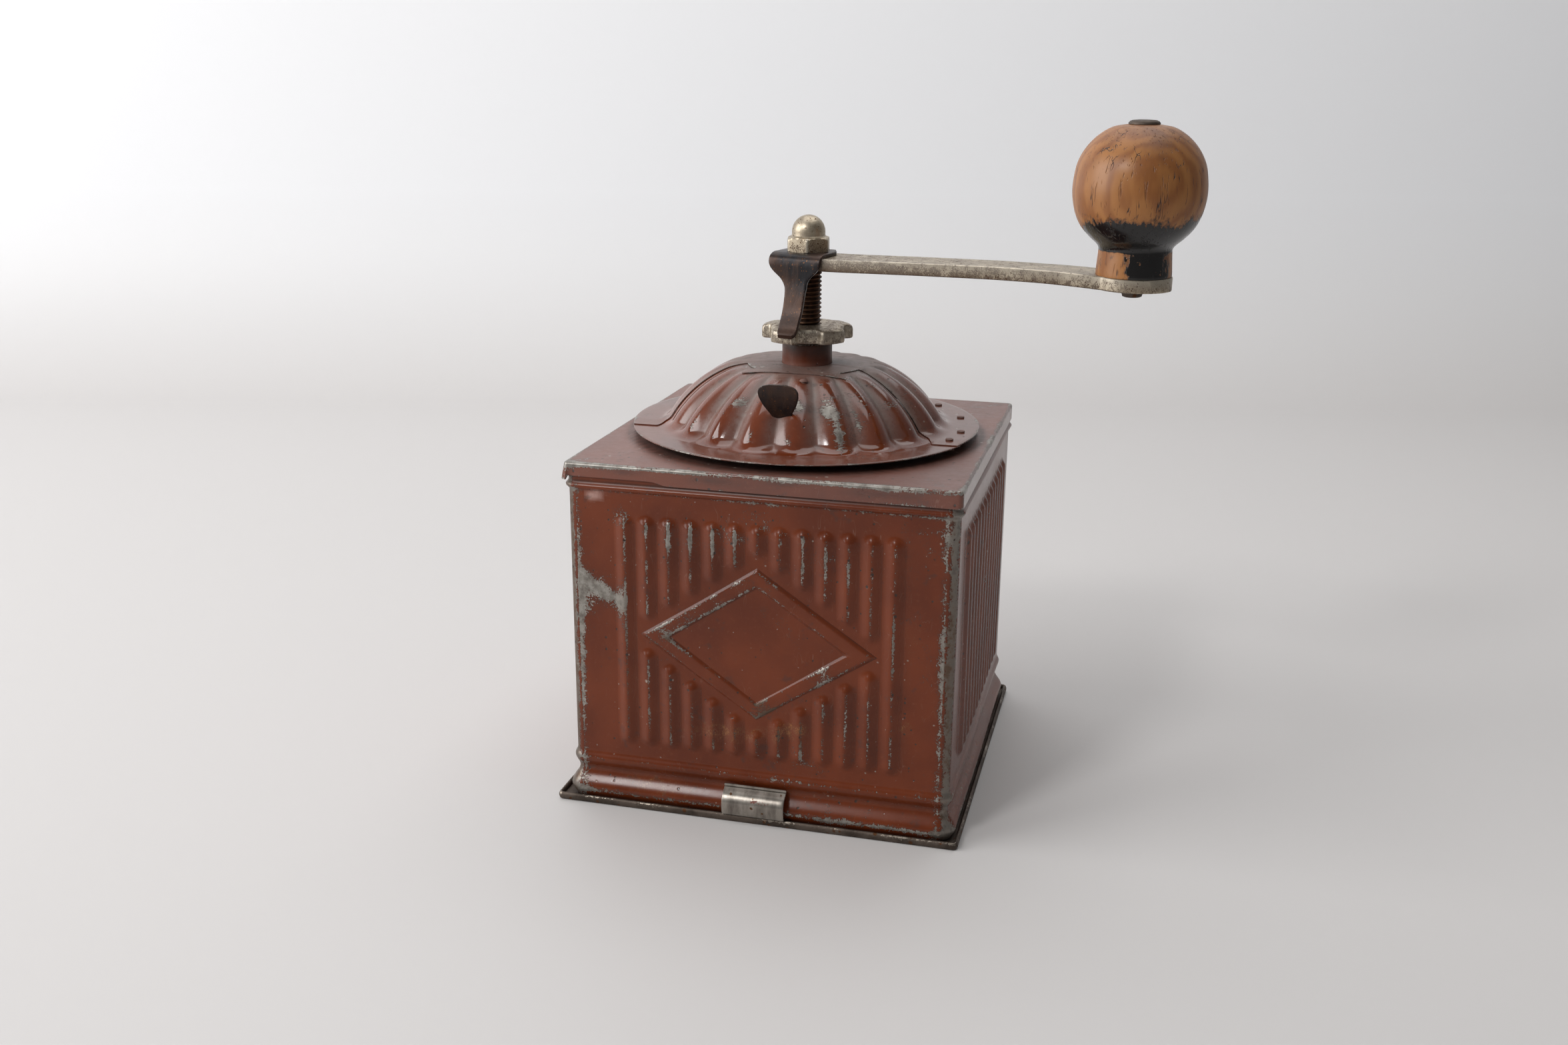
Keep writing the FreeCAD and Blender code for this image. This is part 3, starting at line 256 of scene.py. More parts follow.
class Coat(Nodes):
    """A material as it is built up: its shader, the piece's own coordinates and the colour laid so far."""

    def __init__(self, name):
        self.made = bpy.data.materials.new(name)
        self.made.use_nodes = True
        super().__init__(self.made.node_tree)
        self.shader = self.tree.nodes["Principled BSDF"]
        self.place = self.add("ShaderNodeTexCoord").outputs["Object"]
        self.colour = None

    def mask(self, name):
        """A point attribute of the piece."""
        return self.add("ShaderNodeAttribute", attribute_name=name).outputs["Fac"]

    def worn(self, wear, scale, spread, stretch=None):
        """The bare and rim masks of the wear group."""
        given = {"Vector": self.stretched(stretch), "Wear": wear, "Scale": scale, "Spread": spread}
        node = self.add("ShaderNodeGroup", given, node_tree=ragged_wear)
        return node.outputs["Bare"], node.outputs["Rim"]

    def speckled(self, scale, amount, size):
        """The mask of the specks group."""
        given = {"Vector": self.place, "Scale": scale, "Amount": amount, "Size": size}
        return self.add("ShaderNodeGroup", given, node_tree=specks).outputs[0]

    def hairlines(self, wide, scale, detail, stretch):
        """Thin lines where stretched noise crosses one half."""
        off = self.less(self.noise(scale, detail, stretch=stretch), 0.5)
        return self.step(self.maths("ABSOLUTE", off), wide, 0.002)

    def tint(self, share, first, second):
        """The first colour where share is nought, the second where it is one."""
        given = {0: share, 6: first, 7: second}
        return self.add("ShaderNodeMix", given, data_type="RGBA", clamp_factor=True).outputs[2]

    def shade(self, share, first, second):
        """The first value where share is nought, the second where it is one."""
        given = {0: share, 2: first, 3: second}
        return self.add("ShaderNodeMix", given, data_type="FLOAT", clamp_factor=True).outputs[0]

    def ground(self, share, low, high, first, second):
        """The first coat: one colour where share is below low, another where it is above high."""
        self.colour = self.tint(self.step(share, low, high), first, second)

    def lay(self, share, tone, much=None):
        """Lays a tone over the colour so far by its share, weakened by much where that is given."""
        strength = share if much is None else self.times(share, much)
        self.colour = self.tint(strength, self.colour, tone)

    def done(self, height=None, depth=0.0001, **sockets):
        """Gives the shader its colour, its sockets and a height in metres of depth; returns the material."""
        self.join(self.shader, {"Base Color": self.colour, **sockets})
        if height is not None:
            bump = self.add("ShaderNodeBump", {"Height": height, "Distance": depth, "Strength": 1.0})
            self.join(self.shader, {"Normal": bump.outputs[0]})
        return self.made


def dark_steel():
    """Browned steel sheet: mottled dark, speckled with rust, rubbed bright on the rim."""
    coat = Coat("dark_steel")
    cloud = coat.noise(90.0, 6.0, 0.65)
    coat.ground(cloud, 0.35, 0.65, sheet_dark, sheet_light)
    coat.lay(coat.speckled(600.0, 0.3, 0.35), sheet_rust)
    bare, _ = coat.worn(coat.mask("edge"), 220.0, 1.3)
    coat.lay(bare, sheet_bright, 0.7)
    rough = coat.shade(bare, coat.shade(cloud, 0.42, 0.7), 0.3)
    return coat.done(coat.noise(1500.0, 3.0), 0.00008, Roughness=rough, Metallic=0.85)


dark_steel_finish = dark_steel()
base_points, base_edge = base_surface()
base_plate = surface("base_sheet", base_points, dark_steel_finish, "columns", 40, edge=base_edge)
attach(base_plate, "base")
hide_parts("base_plate")


# Hinge at the back of the base
# Two leaves of bent sheet, rolled into eyes on a steel pin and riveted to the back wall.
# These, the burr's bridge and the other fastenings keep their CAD shape and take a steel finish.

fastener_dark = (0.16, 0.135, 0.115)
fastener_light = (0.30, 0.27, 0.235)
fine_rust = (0.10, 0.045, 0.02)


def dress(finish, *nodes):
    """Gives CAD nodes a finish in their own material slots."""
    for node in nodes:
        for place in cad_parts[node].material_slots:
            place.material = finish


def plain_steel():
    """Fastener steel: grey, a little brown, with fine specks."""
    coat = Coat("plain_steel")
    cloud = coat.noise(260.0, 5.0)
    coat.ground(cloud, 0.3, 0.7, fastener_dark, fastener_light)
    coat.lay(coat.speckled(1100.0, 0.3, 0.4), fine_rust)
    return coat.done(cloud, 0.00006, Roughness=coat.shade(cloud, 0.3, 0.55), Metallic=0.9)


dress(dark_steel_finish, "body_hinge_leaf", "base_hinge_leaf", "burr_bridge")
dress(plain_steel(), "hinge_pin", "leaf_rivets", "spider_rivets", "ring_screws", "ring_nuts", "burr_pin")


# Spring clip
# A bent strip of bare tinplate on the front rim, with a few remnants of red paint.
# Its curled lip snaps into the cove above the flared foot and holds the base shut.
# The funnel inside the box takes the same bare tin.

clip_half = 9.0
clip_sheet = 0.6
clip_line = [(-57.15, 2.5), (-57.8, 2.5), (-58.28, 3.3), (-58.57, 5.0), (-58.43, 6.6), (-57.4, 8.2),
             (-55.6, 9.3), (-54.85, 9.75), (-55.0, 10.2), (-55.5, 10.3)]
to_the_right = np.array([1.0, 0.0, 0.0])
tin_dull = (0.14, 0.120, 0.103)
tin_bright = (0.40, 0.365, 0.32)
paint_left = (0.15, 0.036, 0.02)
tin_specks = (0.13, 0.07, 0.04)


def smooth_line(points, per_span):
    """A line through the points: on each span a cubic whose end slopes are half the neighbours' chord."""
    knots = np.array(points, float)
    before = np.concatenate([2 * knots[:1] - knots[1:2], knots[:-2]])
    after = np.concatenate([knots[2:], 2 * knots[-1:] - knots[-2:-1]])
    t = np.linspace(0, 1, per_span, endpoint=False)[:, None, None]
    start, end = knots[:-1], knots[1:]
    leaving, arriving = (end - before) / 2, (after - start) / 2
    cubic = ((2 * t ** 3 - 3 * t ** 2 + 1) * start + (t ** 3 - 2 * t ** 2 + t) * leaving
             + (3 * t ** 2 - 2 * t ** 3) * end + (t ** 3 - t ** 2) * arriving)
    line = cubic.transpose(1, 0, 2).reshape(-1, knots.shape[1])
    return np.concatenate([line, knots[-1:]])


def strap(path, across, half_width, thickness, round_off):
    """A flat strip: a rounded rectangle carried along a path of (x, y, z) rows.

    It is half_width wide to each side along `across`, its thickness stands square to the path, and both ends
    close on their middle.  Also returns a mask that is one on the long edges.
    """
    ahead = np.gradient(path, axis=0)
    ahead /= np.linalg.norm(ahead, axis=1)[:, None]
    normal = np.cross(ahead, across)
    wide = np.broadcast_to(half_width, len(path))[:, None]
    corner = np.minimum(round_off, 0.9 * wide)
    thick = thickness / 2
    quarter = np.linspace(0, np.pi / 2, 4)
    flats = np.array([0.85, 0.45, 0.0, -0.45, -0.85])
    turn = np.concatenate([quarter, np.full(5, np.pi / 2), quarter + np.pi / 2, quarter + np.pi,
                           np.full(5, 1.5 * np.pi), quarter + 1.5 * np.pi])
    reach = np.concatenate([np.ones(4), flats, -np.ones(4), -np.ones(4), -flats, np.ones(4)])
    edge = np.concatenate([np.ones(4), np.zeros(5), np.ones(8), np.zeros(5), np.ones(4)])
    sideways = reach * (wide - corner) + corner * np.cos(turn)
    low_corner = np.minimum(corner, thick)
    upright = np.sign(np.sin(turn + 1e-9)) * (thick - low_corner) + low_corner * np.sin(turn)
    loops = path[:, None] + sideways[..., None] * across + upright[..., None] * normal[:, None]
    ends = np.repeat(path[[0, -1], None], len(turn), axis=1)
    rows = np.concatenate([ends[:1], loops, ends[1:]])
    return rows, np.broadcast_to(edge, rows.shape[:2])


def patches(a, b, *ovals):
    """A sum of soft ovals, each a row of strength, place, half sizes and, where turned, tilt in degrees.

    An oval has its full strength in the middle and falls off as a bell over its half sizes.
    """
    total = 0.0
    for much, place_a, place_b, size_a, size_b, *tilt in ovals:
        turn = np.radians(sum(tilt))
        off_a, off_b = a - place_a, b - place_b
        long = (off_a * np.cos(turn) + off_b * np.sin(turn)) / size_a
        short = (off_b * np.cos(turn) - off_a * np.sin(turn)) / size_b
        total = total + much * np.exp(-long ** 2 - short ** 2)
    return total


def bare_tin():
    """Tinplate with the coat gone: grey, smeared, with small islands of red paint and brown specks."""
    coat = Coat("bare_tin")
    smear = coat.noise(110.0, 5.0, 0.6, (2.0, 1.0, 0.6))
    coat.ground(smear, 0.3, 0.7, tin_dull, tin_bright)
    painted, _ = coat.worn(coat.mask("paint"), 260.0, 1.3)
    coat.lay(painted, paint_left)
    coat.lay(coat.speckled(620.0, 0.26, 0.3), tin_specks)
    rough = coat.shade(smear, 0.25, 0.42)
    return coat.done(smear, 0.00006, Roughness=rough, Metallic=coat.shade(painted, 0.9, 0.0))


bare_tin_finish = bare_tin()
clip_bend = smooth_line(clip_line, 5)
clip_path = np.column_stack([np.zeros(len(clip_bend)), clip_bend])
clip_rows, _ = strap(clip_path, to_the_right, clip_half, clip_sheet, 0.2)
clip_paint = patches(clip_rows[..., 0], clip_rows[..., 2], (0.55, 1.0, 7.3, 8.0, 0.9))
base_clip = surface("spring_clip", clip_rows, bare_tin_finish, "columns", 40, paint=clip_paint)
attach(base_clip, "clip")
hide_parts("base_clip")
dress(bare_tin_finish, "hopper_funnel")


# Box body
# One sheet of tinplate folded into a square box, pressed with ribs, beads, a cove and a flared foot.
# The red-brown enamel is rubbed through on every fold and crest.

body_half = 54.4
body_corner = 3.0
body_sheet = 0.5
body_top = 100.4
body_foot = 0.9
wall_marks = [(-2.2, -1.0), (4.0, 2.0), (9.4, -0.5), (13.1, 0.8), (15.4, 0.0), (92.9, 0.0), (94.3, 0.95),
              (95.8, 0.1), (101.0, 0.0)]
# First level, last level and number of the wall's rows, from the top down
wall_rows = [(body_top, 96.2, 5), (95.8, 93.0, 9), (92.3, 87.3, 8), (86.7, 18.7, 84), (18.1, 15.6, 5),
             (15.2, 11.2, 13), (10.8, 7.4, 9), (7.0, body_foot, 17)]
rib_pitch = 6.28
rib_pairs = 6
rib_reach = 2.9
rib_out = 1.2
rib_low = 21.2
rib_high = 84.4
ribbed_half = 42.0
lozenge_level = 52.7
lozenge_half_width = 32.8
lozenge_half_height = 21.9
lozenge_margin = 5.8
plain_wear = 0.2
# Ovals on the front wall: strength, place along and up it, half sizes, tilt in degrees
front_scrapes = [(0.36, -46.0, 65.0, 7.0, 2.7, -27), (0.30, -39.0, 61.0, 1.8, 7.0),
                 (0.12, -46.0, 64.0, 8.0, 6.0, -27), (0.38, -51.4, 50.0, 1.5, 48.0),
                 (0.12, -49.0, 62.0, 3.0, 20.0), (0.25, -39.0, 87.0, 3.0, 3.5), (0.30, 52.0, 50.0, 1.6, 70.0)]
front_rust = [(0.45, -9.0, 26.0, 20.0, 5.5), (0.44, 42.0, 33.0, 3.5, 4.0), (0.42, -28.0, 7.0, 26.0, 4.0),
              (0.36, 43.0, 60.0, 6.0, 12.0), (0.34, -36.0, 42.0, 5.0, 22.0), (0.36, 12.0, 30.0, 9.0, 5.0),
              (0.30, 53.8, 45.0, 1.5, 60.0)]
enamel_deep = (0.104, 0.0190, 0.0045)
enamel_clear = (0.158, 0.031, 0.0078)
enamel_chalky = (0.165, 0.044, 0.018)
enamel_bruised = (0.055, 0.026, 0.020)
enamel_thin = (0.06, 0.03, 0.022)
# Brown of grime, and of painted shade and shadow
grime_brown = (0.035, 0.016, 0.011)
bloom_edge = (0.15, 0.052, 0.02)
bloom_orange = (0.26, 0.105, 0.036)
worn_tin_dark = (0.15, 0.13, 0.112)
worn_tin_light = (0.36, 0.34, 0.305)
worn_tin_stain = (0.115, 0.075, 0.052)
pit_brown = (0.045, 0.026, 0.02)
chip_grey = (0.29, 0.24, 0.20)
lint_grey = (0.40, 0.35, 0.31)
scratch_pale = (0.28, 0.16, 0.12)
# Pale pink of dust, also used for the painted highlight on the front's dent
box_dust = (0.46, 0.29, 0.25)


def eased(level, marks):
    """Half cosine waves between turning points (level, value), so that the line lies flat at each of them."""
    levels, values = np.array(marks).T
    below = np.clip(np.searchsorted(levels, level) - 1, 0, len(levels) - 2)
    share = np.clip((level - levels[below]) / (levels[below + 1] - levels[below]), 0, 1)
    return values[below] + (values[below + 1] - values[below]) * (0.5 - 0.5 * np.cos(np.pi * share))


def bell(value, middle, width):
    """One at the middle, falling off to both sides over the width as the exponent of a square."""
    return np.exp(-((value - middle) / width) ** 2)


def ramp(value, start, length):
    """Nought up to the start, then an even rise to one over the length."""
    return np.clip((value - start) / length, 0, 1)


def rib_distance(along, level, on_front):
    """Distance to the nearest rib's middle line: beside it, or past its end, as for a round-ended slot.

    Front ribs stop at the lozenge's margin, apart from the outer two.  Also returns the offset to one side,
    the rib's number and the distance past its end.
    """
    number = np.clip(np.round(along / rib_pitch), -rib_pairs, rib_pairs)
    beside = along - number * rib_pitch
    share = np.clip(1 - np.abs(number * rib_pitch) / lozenge_half_width, 0, 1)
    stopped = on_front & (np.abs(number) < rib_pairs)
    gap = np.where(stopped, lozenge_half_height * share + lozenge_margin, 0.0)
    past_low = np.maximum(rib_low - level, level - lozenge_level + gap)
    past_high = np.maximum(lozenge_level + gap - level, level - rib_high)
    past = np.maximum(np.minimum(past_low, past_high), 0)
    return np.hypot(beside, past), beside, number, past


def backed(shape, hidden_rows, **masks):
    """Masks spread over an outer skin of this shape, with rows of noughts for the skin behind it."""
    hidden = np.zeros((hidden_rows, shape[1]))
    return {key: np.concatenate([np.broadcast_to(mask, shape), hidden]) for key, mask in masks.items()}


def body_surface():
    """The wall's line from top to foot carried round the box, moved out by beads, ribs, waves and a dent.

    The rows go down the outer skin, round the foot's edge and up the inner skin.  Also returns the masks.
    """
    straight = body_half - body_corner
    ribs = rib_pitch * np.arange(-rib_pairs, rib_pairs + 1)
    near = rib_reach * np.array([-1.0, -0.68, -0.36, -0.08, 0.06, 0.2, 0.36, 0.64, 1.0])
    flank = np.linspace(41.0, straight, 6)
    stations = np.concatenate([(ribs[:, None] + near).ravel(), ribs[1:] - rib_pitch / 2, flank, -flank])
    shares = np.unique(np.round(stations, 3)) / straight
    edge, out, along = around(body_half, body_half, body_corner, shares, 8)
    side = np.repeat(np.arange(4), len(edge) // 4)
    level = np.concatenate([np.linspace(*rows) for rows in wall_rows])[:, None]
    front = (side == 0)[None]
    distance, beside, number, past = rib_distance(along[None], level, front)
    rib = rib_out * (0.5 + 0.5 * np.cos(np.pi * np.minimum(distance / rib_reach, 1))) ** 0.9
    plain = ramp(straight - np.abs(along), 0, 6)
    wave = 0.13 * plain * np.sin(along / 15 + 2 * side + level / 31) * np.sin(level / 24 + side)
    dent = front * patches(along, level, (0.45, -46.0, 91.8, 2.6, 1.3, 18))
    reach = eased(level, wall_marks) + rib + wave + dent
    outer = raised(edge[None] + reach[..., None] * out, level)
    inner_level = np.concatenate([level[-1:], level[::-6]])
    inner_reach = eased(inner_level, wall_marks) - body_sheet
    inner = raised(edge[None] + inner_reach[..., None] * out, inner_level)

    lean = np.abs(np.arctan2(np.abs(out[:, 1]), np.abs(out[:, 0])) - np.pi / 4)
    corner = bell(body_corner * lean + np.maximum(straight - np.abs(along), 0), 0, 1.7)
    ribbed = np.abs(along) < ribbed_half
    crest = bell(beside, 0.35, 0.45) * np.clip(1 - past / 2, 0, 1) * ribbed
    pulse = 0.5 + 0.5 * np.sin(level / 3.1 + 2.3 * number + side) * np.sin(level / 7.7 + number)
    beads = 0.16 * bell(level, 13.4, 0.7) + 0.30 * bell(level, 3.6, 0.9) + 0.24 * bell(level, 93.4, 0.5)
    wear = plain_wear + 0.45 * corner + (0.19 + 0.17 * pulse) * crest + beads
    rib_ends = patches(along, level, (0.26, -22.0, 83.0, 14.0, 4.0)) * bell(beside, 0.3, 0.5)
    wear = wear + front * (patches(along, level, *front_scrapes) + rib_ends)
    # Painted shade on the right flank of each rib and in the cove above the flared foot, and a painted shadow
    # in a line under the lid's skirt.
    grime = 0.3 * bell(beside, 2.7, 0.7) * np.clip(1 - past, 0, 1) * ribbed
    grime = grime + 0.28 * bell(level, 10.0, 1.2) + 0.95 * bell(level, 95.75, 0.45)
    # Painted highlight: a pale pink oval on the dent near the top left, laid through the dust layer.
    dent_highlight = front * np.clip(patches(along, level, (2.2, -46.0, 92.0, 3.2, 1.8, 18)) - 0.8, 0, 1)
    elsewhere = patches(along, level, (0.25, 10.0, 24.0, 40.0, 8.0)) + 0.3 * corner
    rust = np.where(front, patches(along, level, *front_rust), elsewhere)
    masks = backed(reach.shape, len(inner_level), wear=wear, grime=grime, rust=rust, dust=dent_highlight)
    return np.concatenate([outer, inner]), masks


def worn_enamel(name, gloss, shine, dust_share, dust_tone, scale=300.0, settled=0.0, rubbed=(1.0, 1.0, 1.0)):
    """Red-brown enamel on tin: uneven coat, dusty hollows, rust bloom, bare metal where worn through."""
    coat = Coat(name)
    cloud = coat.noise(38.0, 5.0, 0.6)
    grain = coat.noise(900.0, 4.0, 0.6)
    coat.ground(cloud, 0.3, 0.7, enamel_deep, enamel_clear)
    coat.lay(coat.step(grain, 0.55, 0.85), enamel_chalky)
    uneven = coat.shade(coat.noise(420.0, 6.0, 0.7), 0.1, 1.7)
    # Dust, and also painted light: a highlight on the box's dent and a sheen on the lid's plate.
    dust = coat.times(coat.plus(coat.mask("dust"), settled), uneven)
    coat.lay(dust, dust_tone, dust_share)
    # Darkening: real grime on the dome's crown and stains on the lid's skirt, darker along the lozenge's
    # feet, and painted shade and shadow on the box's rib flanks, cove and skirt line, round the hopper's
    # flange and on the neck under the wheel.
    grime = coat.times(coat.mask("grime"), coat.shade(coat.noise(190.0, 4.0), 0.2, 1.4))
    coat.lay(grime, grime_brown)
    bloom, bloom_rim = coat.worn(coat.mask("rust"), 420.0, 1.1)
    coat.lay(bloom_rim, bloom_edge, 0.6)
    coat.lay(bloom, bloom_orange, 0.7)
    coat.lay(coat.step(coat.noise(210.0, 3.0, 0.6), 0.62, 0.72), enamel_bruised, 0.45)
    crowded = coat.times(coat.step(coat.noise(48.0, 3.0), 0.48, 0.68), 0.14)
    bare, rim = coat.worn(coat.plus(coat.mask("wear"), crowded), scale, 1.3, rubbed)
    coat.lay(rim, enamel_thin, 0.5)
    metal_cloud = coat.noise(330.0, 6.0, 0.7)
    tin = coat.tint(coat.step(metal_cloud, 0.34, 0.66), worn_tin_dark, worn_tin_light)
    stain = coat.step(coat.plus(metal_cloud, coat.mask("rust")), 0.56, 0.86)
    coat.lay(bare, coat.tint(stain, tin, worn_tin_stain))
    pits = coat.speckled(620.0, 0.13, 0.24)
    coat.lay(pits, pit_brown)
    chips = coat.speckled(380.0, 0.10, 0.17)
    coat.lay(chips, chip_grey)
    coat.lay(coat.speckled(820.0, 0.07, 0.18), lint_grey, 0.45)
    scratches = coat.hairlines(0.007, 260.0, 2.0, (1.0, 1.0, 0.3))
    scratches = coat.times(scratches, coat.step(coat.noise(130.0, 2.0), 0.52, 0.66))
    coat.lay(scratches, scratch_pale, 0.22)
    rough = coat.shade(dust, coat.shade(cloud, gloss - 0.05, gloss + 0.08), 0.7)
    rough = coat.shade(coat.times(grime, 0.5), rough, 0.7)
    rough = coat.shade(bare, rough, 0.38)
    film = coat.plus(coat.times(bare, -0.8), coat.times(cloud, 0.5))
    film = coat.plus(film, coat.times(grain, 0.10))
    film = coat.less(film, coat.times(coat.plus(pits, chips), 0.6))
    coat.shader.inputs["Specular IOR Level"].default_value = shine
    return coat.done(film, 0.00009, Roughness=rough, Metallic=coat.times(bare, 0.6))


box_enamel = worn_enamel("box_enamel", 0.22, 0.33, 0.8, box_dust)
body_points, body_masks = body_surface()
body_shell = surface("box_walls", body_points, box_enamel, "rows columns", **body_masks)
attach(body_shell, "housing")
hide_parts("body_shell")


# Lozenge frame
# A raised flat band pressed out of the front wall round a plain field.
# Its shoulders are soft and its edges are rubbed down to the tin.

# Share of the lozenge's size and height above the wall, from the outer foot to the inner
lozenge_profile = [(1.035, -0.3), (1.02, 0.0), (1.0, 0.14), (0.985, 0.42), (0.965, 0.57), (0.94, 0.6),
                   (0.885, 0.6), (0.83, 0.6), (0.805, 0.57), (0.785, 0.42), (0.77, 0.14), (0.75, 0.0),
                   (0.735, -0.3)]


def lozenge_surface():
    """A lozenge walked corner to corner, scaled and lifted by each point of the band's profile."""
    corners = np.array([(lozenge_half_width, 0), (0, lozenge_half_height), (-lozenge_half_width, 0),
                        (0, -lozenge_half_height)])
    t = np.linspace(0, 1, 40, endpoint=False)[None, :, None]
    walk = (corners[:, None] * (1 - t) + np.roll(corners, -1, axis=0)[:, None] * t).reshape(-1, 2)
    scale, height = np.array(lozenge_profile).T
    x = scale[:, None] * walk[:, 0]
    z = lozenge_level + scale[:, None] * walk[:, 1]
    y = np.broadcast_to(-body_half - height[:, None], x.shape)
    shoulder = bell(scale, 0.975, 0.02) + bell(scale, 0.795, 0.02)
    rubbed = patches(x, z, (0.24, -25.0, 55.0, 8.0, 5.0, 33), (0.18, -10.0, 64.0, 9.0, 4.0, 33),
                     (0.14, 20.0, 46.0, 10.0, 6.0), (0.22, 2.0, 33.5, 8.0, 3.5))
    wear = plain_wear + 0.2 * shoulder[:, None] + rubbed
    # Darker along both feet of the band.
    foot = bell(scale, 1.02, 0.012) + bell(scale, 0.75, 0.012)
    rust = patches(x, z, (0.42, 4.0, 34.0, 10.0, 4.0), (0.3, -28.0, 50.0, 6.0, 5.0))
    return np.dstack([x, y, z]), dict(wear=wear, grime=0.6 * foot[:, None], rust=rust)


lozenge_points, lozenge_masks = lozenge_surface()
lozenge = surface("lozenge_band", lozenge_points, box_enamel, "rows columns", 50, **lozenge_masks)
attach(lozenge, "housing")


# Cover of the box
# A flat tin lid with a turned-down skirt, cut out round for the hopper's mouth.
# Its folded edge is rubbed bright and the skirt ends in a step near the left of the front.

cover_half = 55.0
cover_level = 100.9
cover_sheet = 0.5
cover_edge = 0.8
cover_corner = 1.4
skirt_low = 96.1
skirt_step = 1.0
step_place = -27.5
mouth_radius = 36.6
# Painted shade under the hopper's flange inside the first radius, and a painted shadow ring just outside its
# rim at the second
under_flange_shade_radius = 50.5
flange_shadow_ring = 52.0
# Pinkish grey of dust, also standing in for the plate's sheen
cover_dust = (0.29, 0.20, 0.180)


def cover_surface():
    """Rings from the round mouth to the square edge, over its round, down the skirt and back inside."""
    edge, out, along = around(cover_half, cover_half, cover_corner, np.linspace(-1, 1, 71))
    side = np.repeat(np.arange(4), len(edge) // 4)
    mouth = mouth_radius * edge / np.linalg.norm(edge, axis=1)[:, None]
    lip = edge - cover_edge * out
    t = 1 - (1 - np.linspace(0, 1, 26)[:, None, None]) ** 1.7
    ripple = 0.10 * np.sin(edge[:, 0] / 13) * np.sin(edge[:, 1] / 17) * np.sin(np.pi * t[..., 0])
    flat = raised(mouth * (1 - t) + lip * t, cover_level + ripple)
    turn = np.linspace(0, np.pi / 2, 7)[1:, None, None]
    lowered = cover_edge * (1 - np.cos(turn[..., 0]))
    fold = raised(lip + cover_edge * np.sin(turn) * out, cover_level - lowered)
    stepped = np.where(side == 0, skirt_step * (0.5 - 0.5 * np.tanh((along - step_place) / 1.2)), 0.0)
    flap = 0.8 * (side == 3) * ramp(along, 44, 10) ** 2

    def hanging(share, inset):
        """The skirt at these shares of its height, set in from the edge."""
        height = (cover_level - cover_edge) * (1 - share) + (skirt_low + stepped) * share
        return raised((edge - inset * out)[None] + (flap * share)[..., None] * out, height)

    share = np.linspace(0, 1, 9)[1:, None]
    skirt = hanging(share, 0.0)
    inside = hanging(share[::-2], cover_sheet)
    under = raised((mouth * (1 - t) + (lip - 0.2 * out) * t)[[-1, 8, 0]], cover_level - cover_sheet)
    outer = np.concatenate([flat, fold, skirt])
    points = np.concatenate([outer, inside, under])

    to_edge = np.concatenate([np.linalg.norm(flat[..., :2] - lip, axis=2), np.zeros(fold.shape[:2]),
                              np.broadcast_to(share * 4.0, skirt.shape[:2])])
    low_edge = np.concatenate([np.full((len(flat) + len(fold), 1), 9.0), (1 - share) * 4])
    wear = plain_wear + 0.27 * bell(to_edge, 0, 0.6) + 0.17 * bell(low_edge, 0, 0.5)
    wear = wear + 0.14 * bell(np.abs(along), cover_half, 3.0)
    wear = wear + 0.11 * np.sin(along / 6 + side) * np.sin(along / 13 + 2) * bell(to_edge, 0, 2.5)
    height = outer[..., 2]
    scraped = patches(along, height, (0.22, -32.0, 100.4, 22.0, 0.5), (0.154, 22.0, 100.4, 12.0, 0.5))
    stained = patches(along, height, (0.6, -37.0, 99.3, 5.0, 0.9), (0.6, -12.0, 98.8, 7.0, 1.2),
                      (0.6, 9.0, 99.4, 5.0, 0.7), (0.6, 33.0, 98.6, 9.0, 1.0))
    ring = np.linalg.norm(outer[..., :2], axis=2)
    # Painted shadow in a ring just outside the hopper's flange and painted shade beneath it; the stains on
    # the front skirt are real.
    grime = 0.7 * bell(ring, flange_shadow_ring, 1.1) * (height > 100) + 0.8 * (ring < under_flange_shade_radius)
    grime = grime + (side == 0) * stained
    # Dust, heaviest on the plate, where it also serves as painted sheen.
    dust = np.full((len(outer), 1), 0.1)
    dust[:len(flat)] = 0.45
    return points, backed(outer.shape[:2], len(points) - len(outer), wear=wear + (side == 0) * scraped,
                          dust=dust, grime=np.minimum(grime, 0.8))


cover_enamel = worn_enamel("cover_enamel", 0.15, 0.85, 0.5, cover_dust)
cover_points, cover_masks = cover_surface()
top_cover = surface("box_lid", cover_points, cover_enamel, "rows columns", 55, **cover_masks)
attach(top_cover, "housing")
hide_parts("top_cover")


# Burrs and hopper frame
# Grey iron castings inside the box: the spider, the burr ring and the inner burr.
# They keep their CAD shape and get a gritty cast finish with coffee dust.

iron_dark = (0.045, 0.042, 0.04)
iron_light = (0.12, 0.115, 0.11)
coffee_brown = (0.05, 0.025, 0.013)


def cast_iron():
    """Sand-cast iron: dark grey with a coarse skin, browned by coffee in places."""
    coat = Coat("cast_iron")
    skin = coat.noise(700.0, 6.0, 0.7)
    coat.ground(skin, 0.35, 0.65, iron_dark, iron_light)
    coat.lay(coat.step(coat.noise(120.0, 4.0), 0.5, 0.7), coffee_brown, 0.6)
    return coat.done(skin, 0.0002, Roughness=coat.shade(skin, 0.45, 0.8), Metallic=0.7)


dress(cast_iron(), "hopper_spider", "burr_ring", "inner_burr")


# Hopper cowl
# The fixed rear part of the fluted dome: a pressed tin shell with a gently bulged crown and a round flange.
# Rivets hold its flange above the cover; its edges and the lip of its crown lie close on the door below.

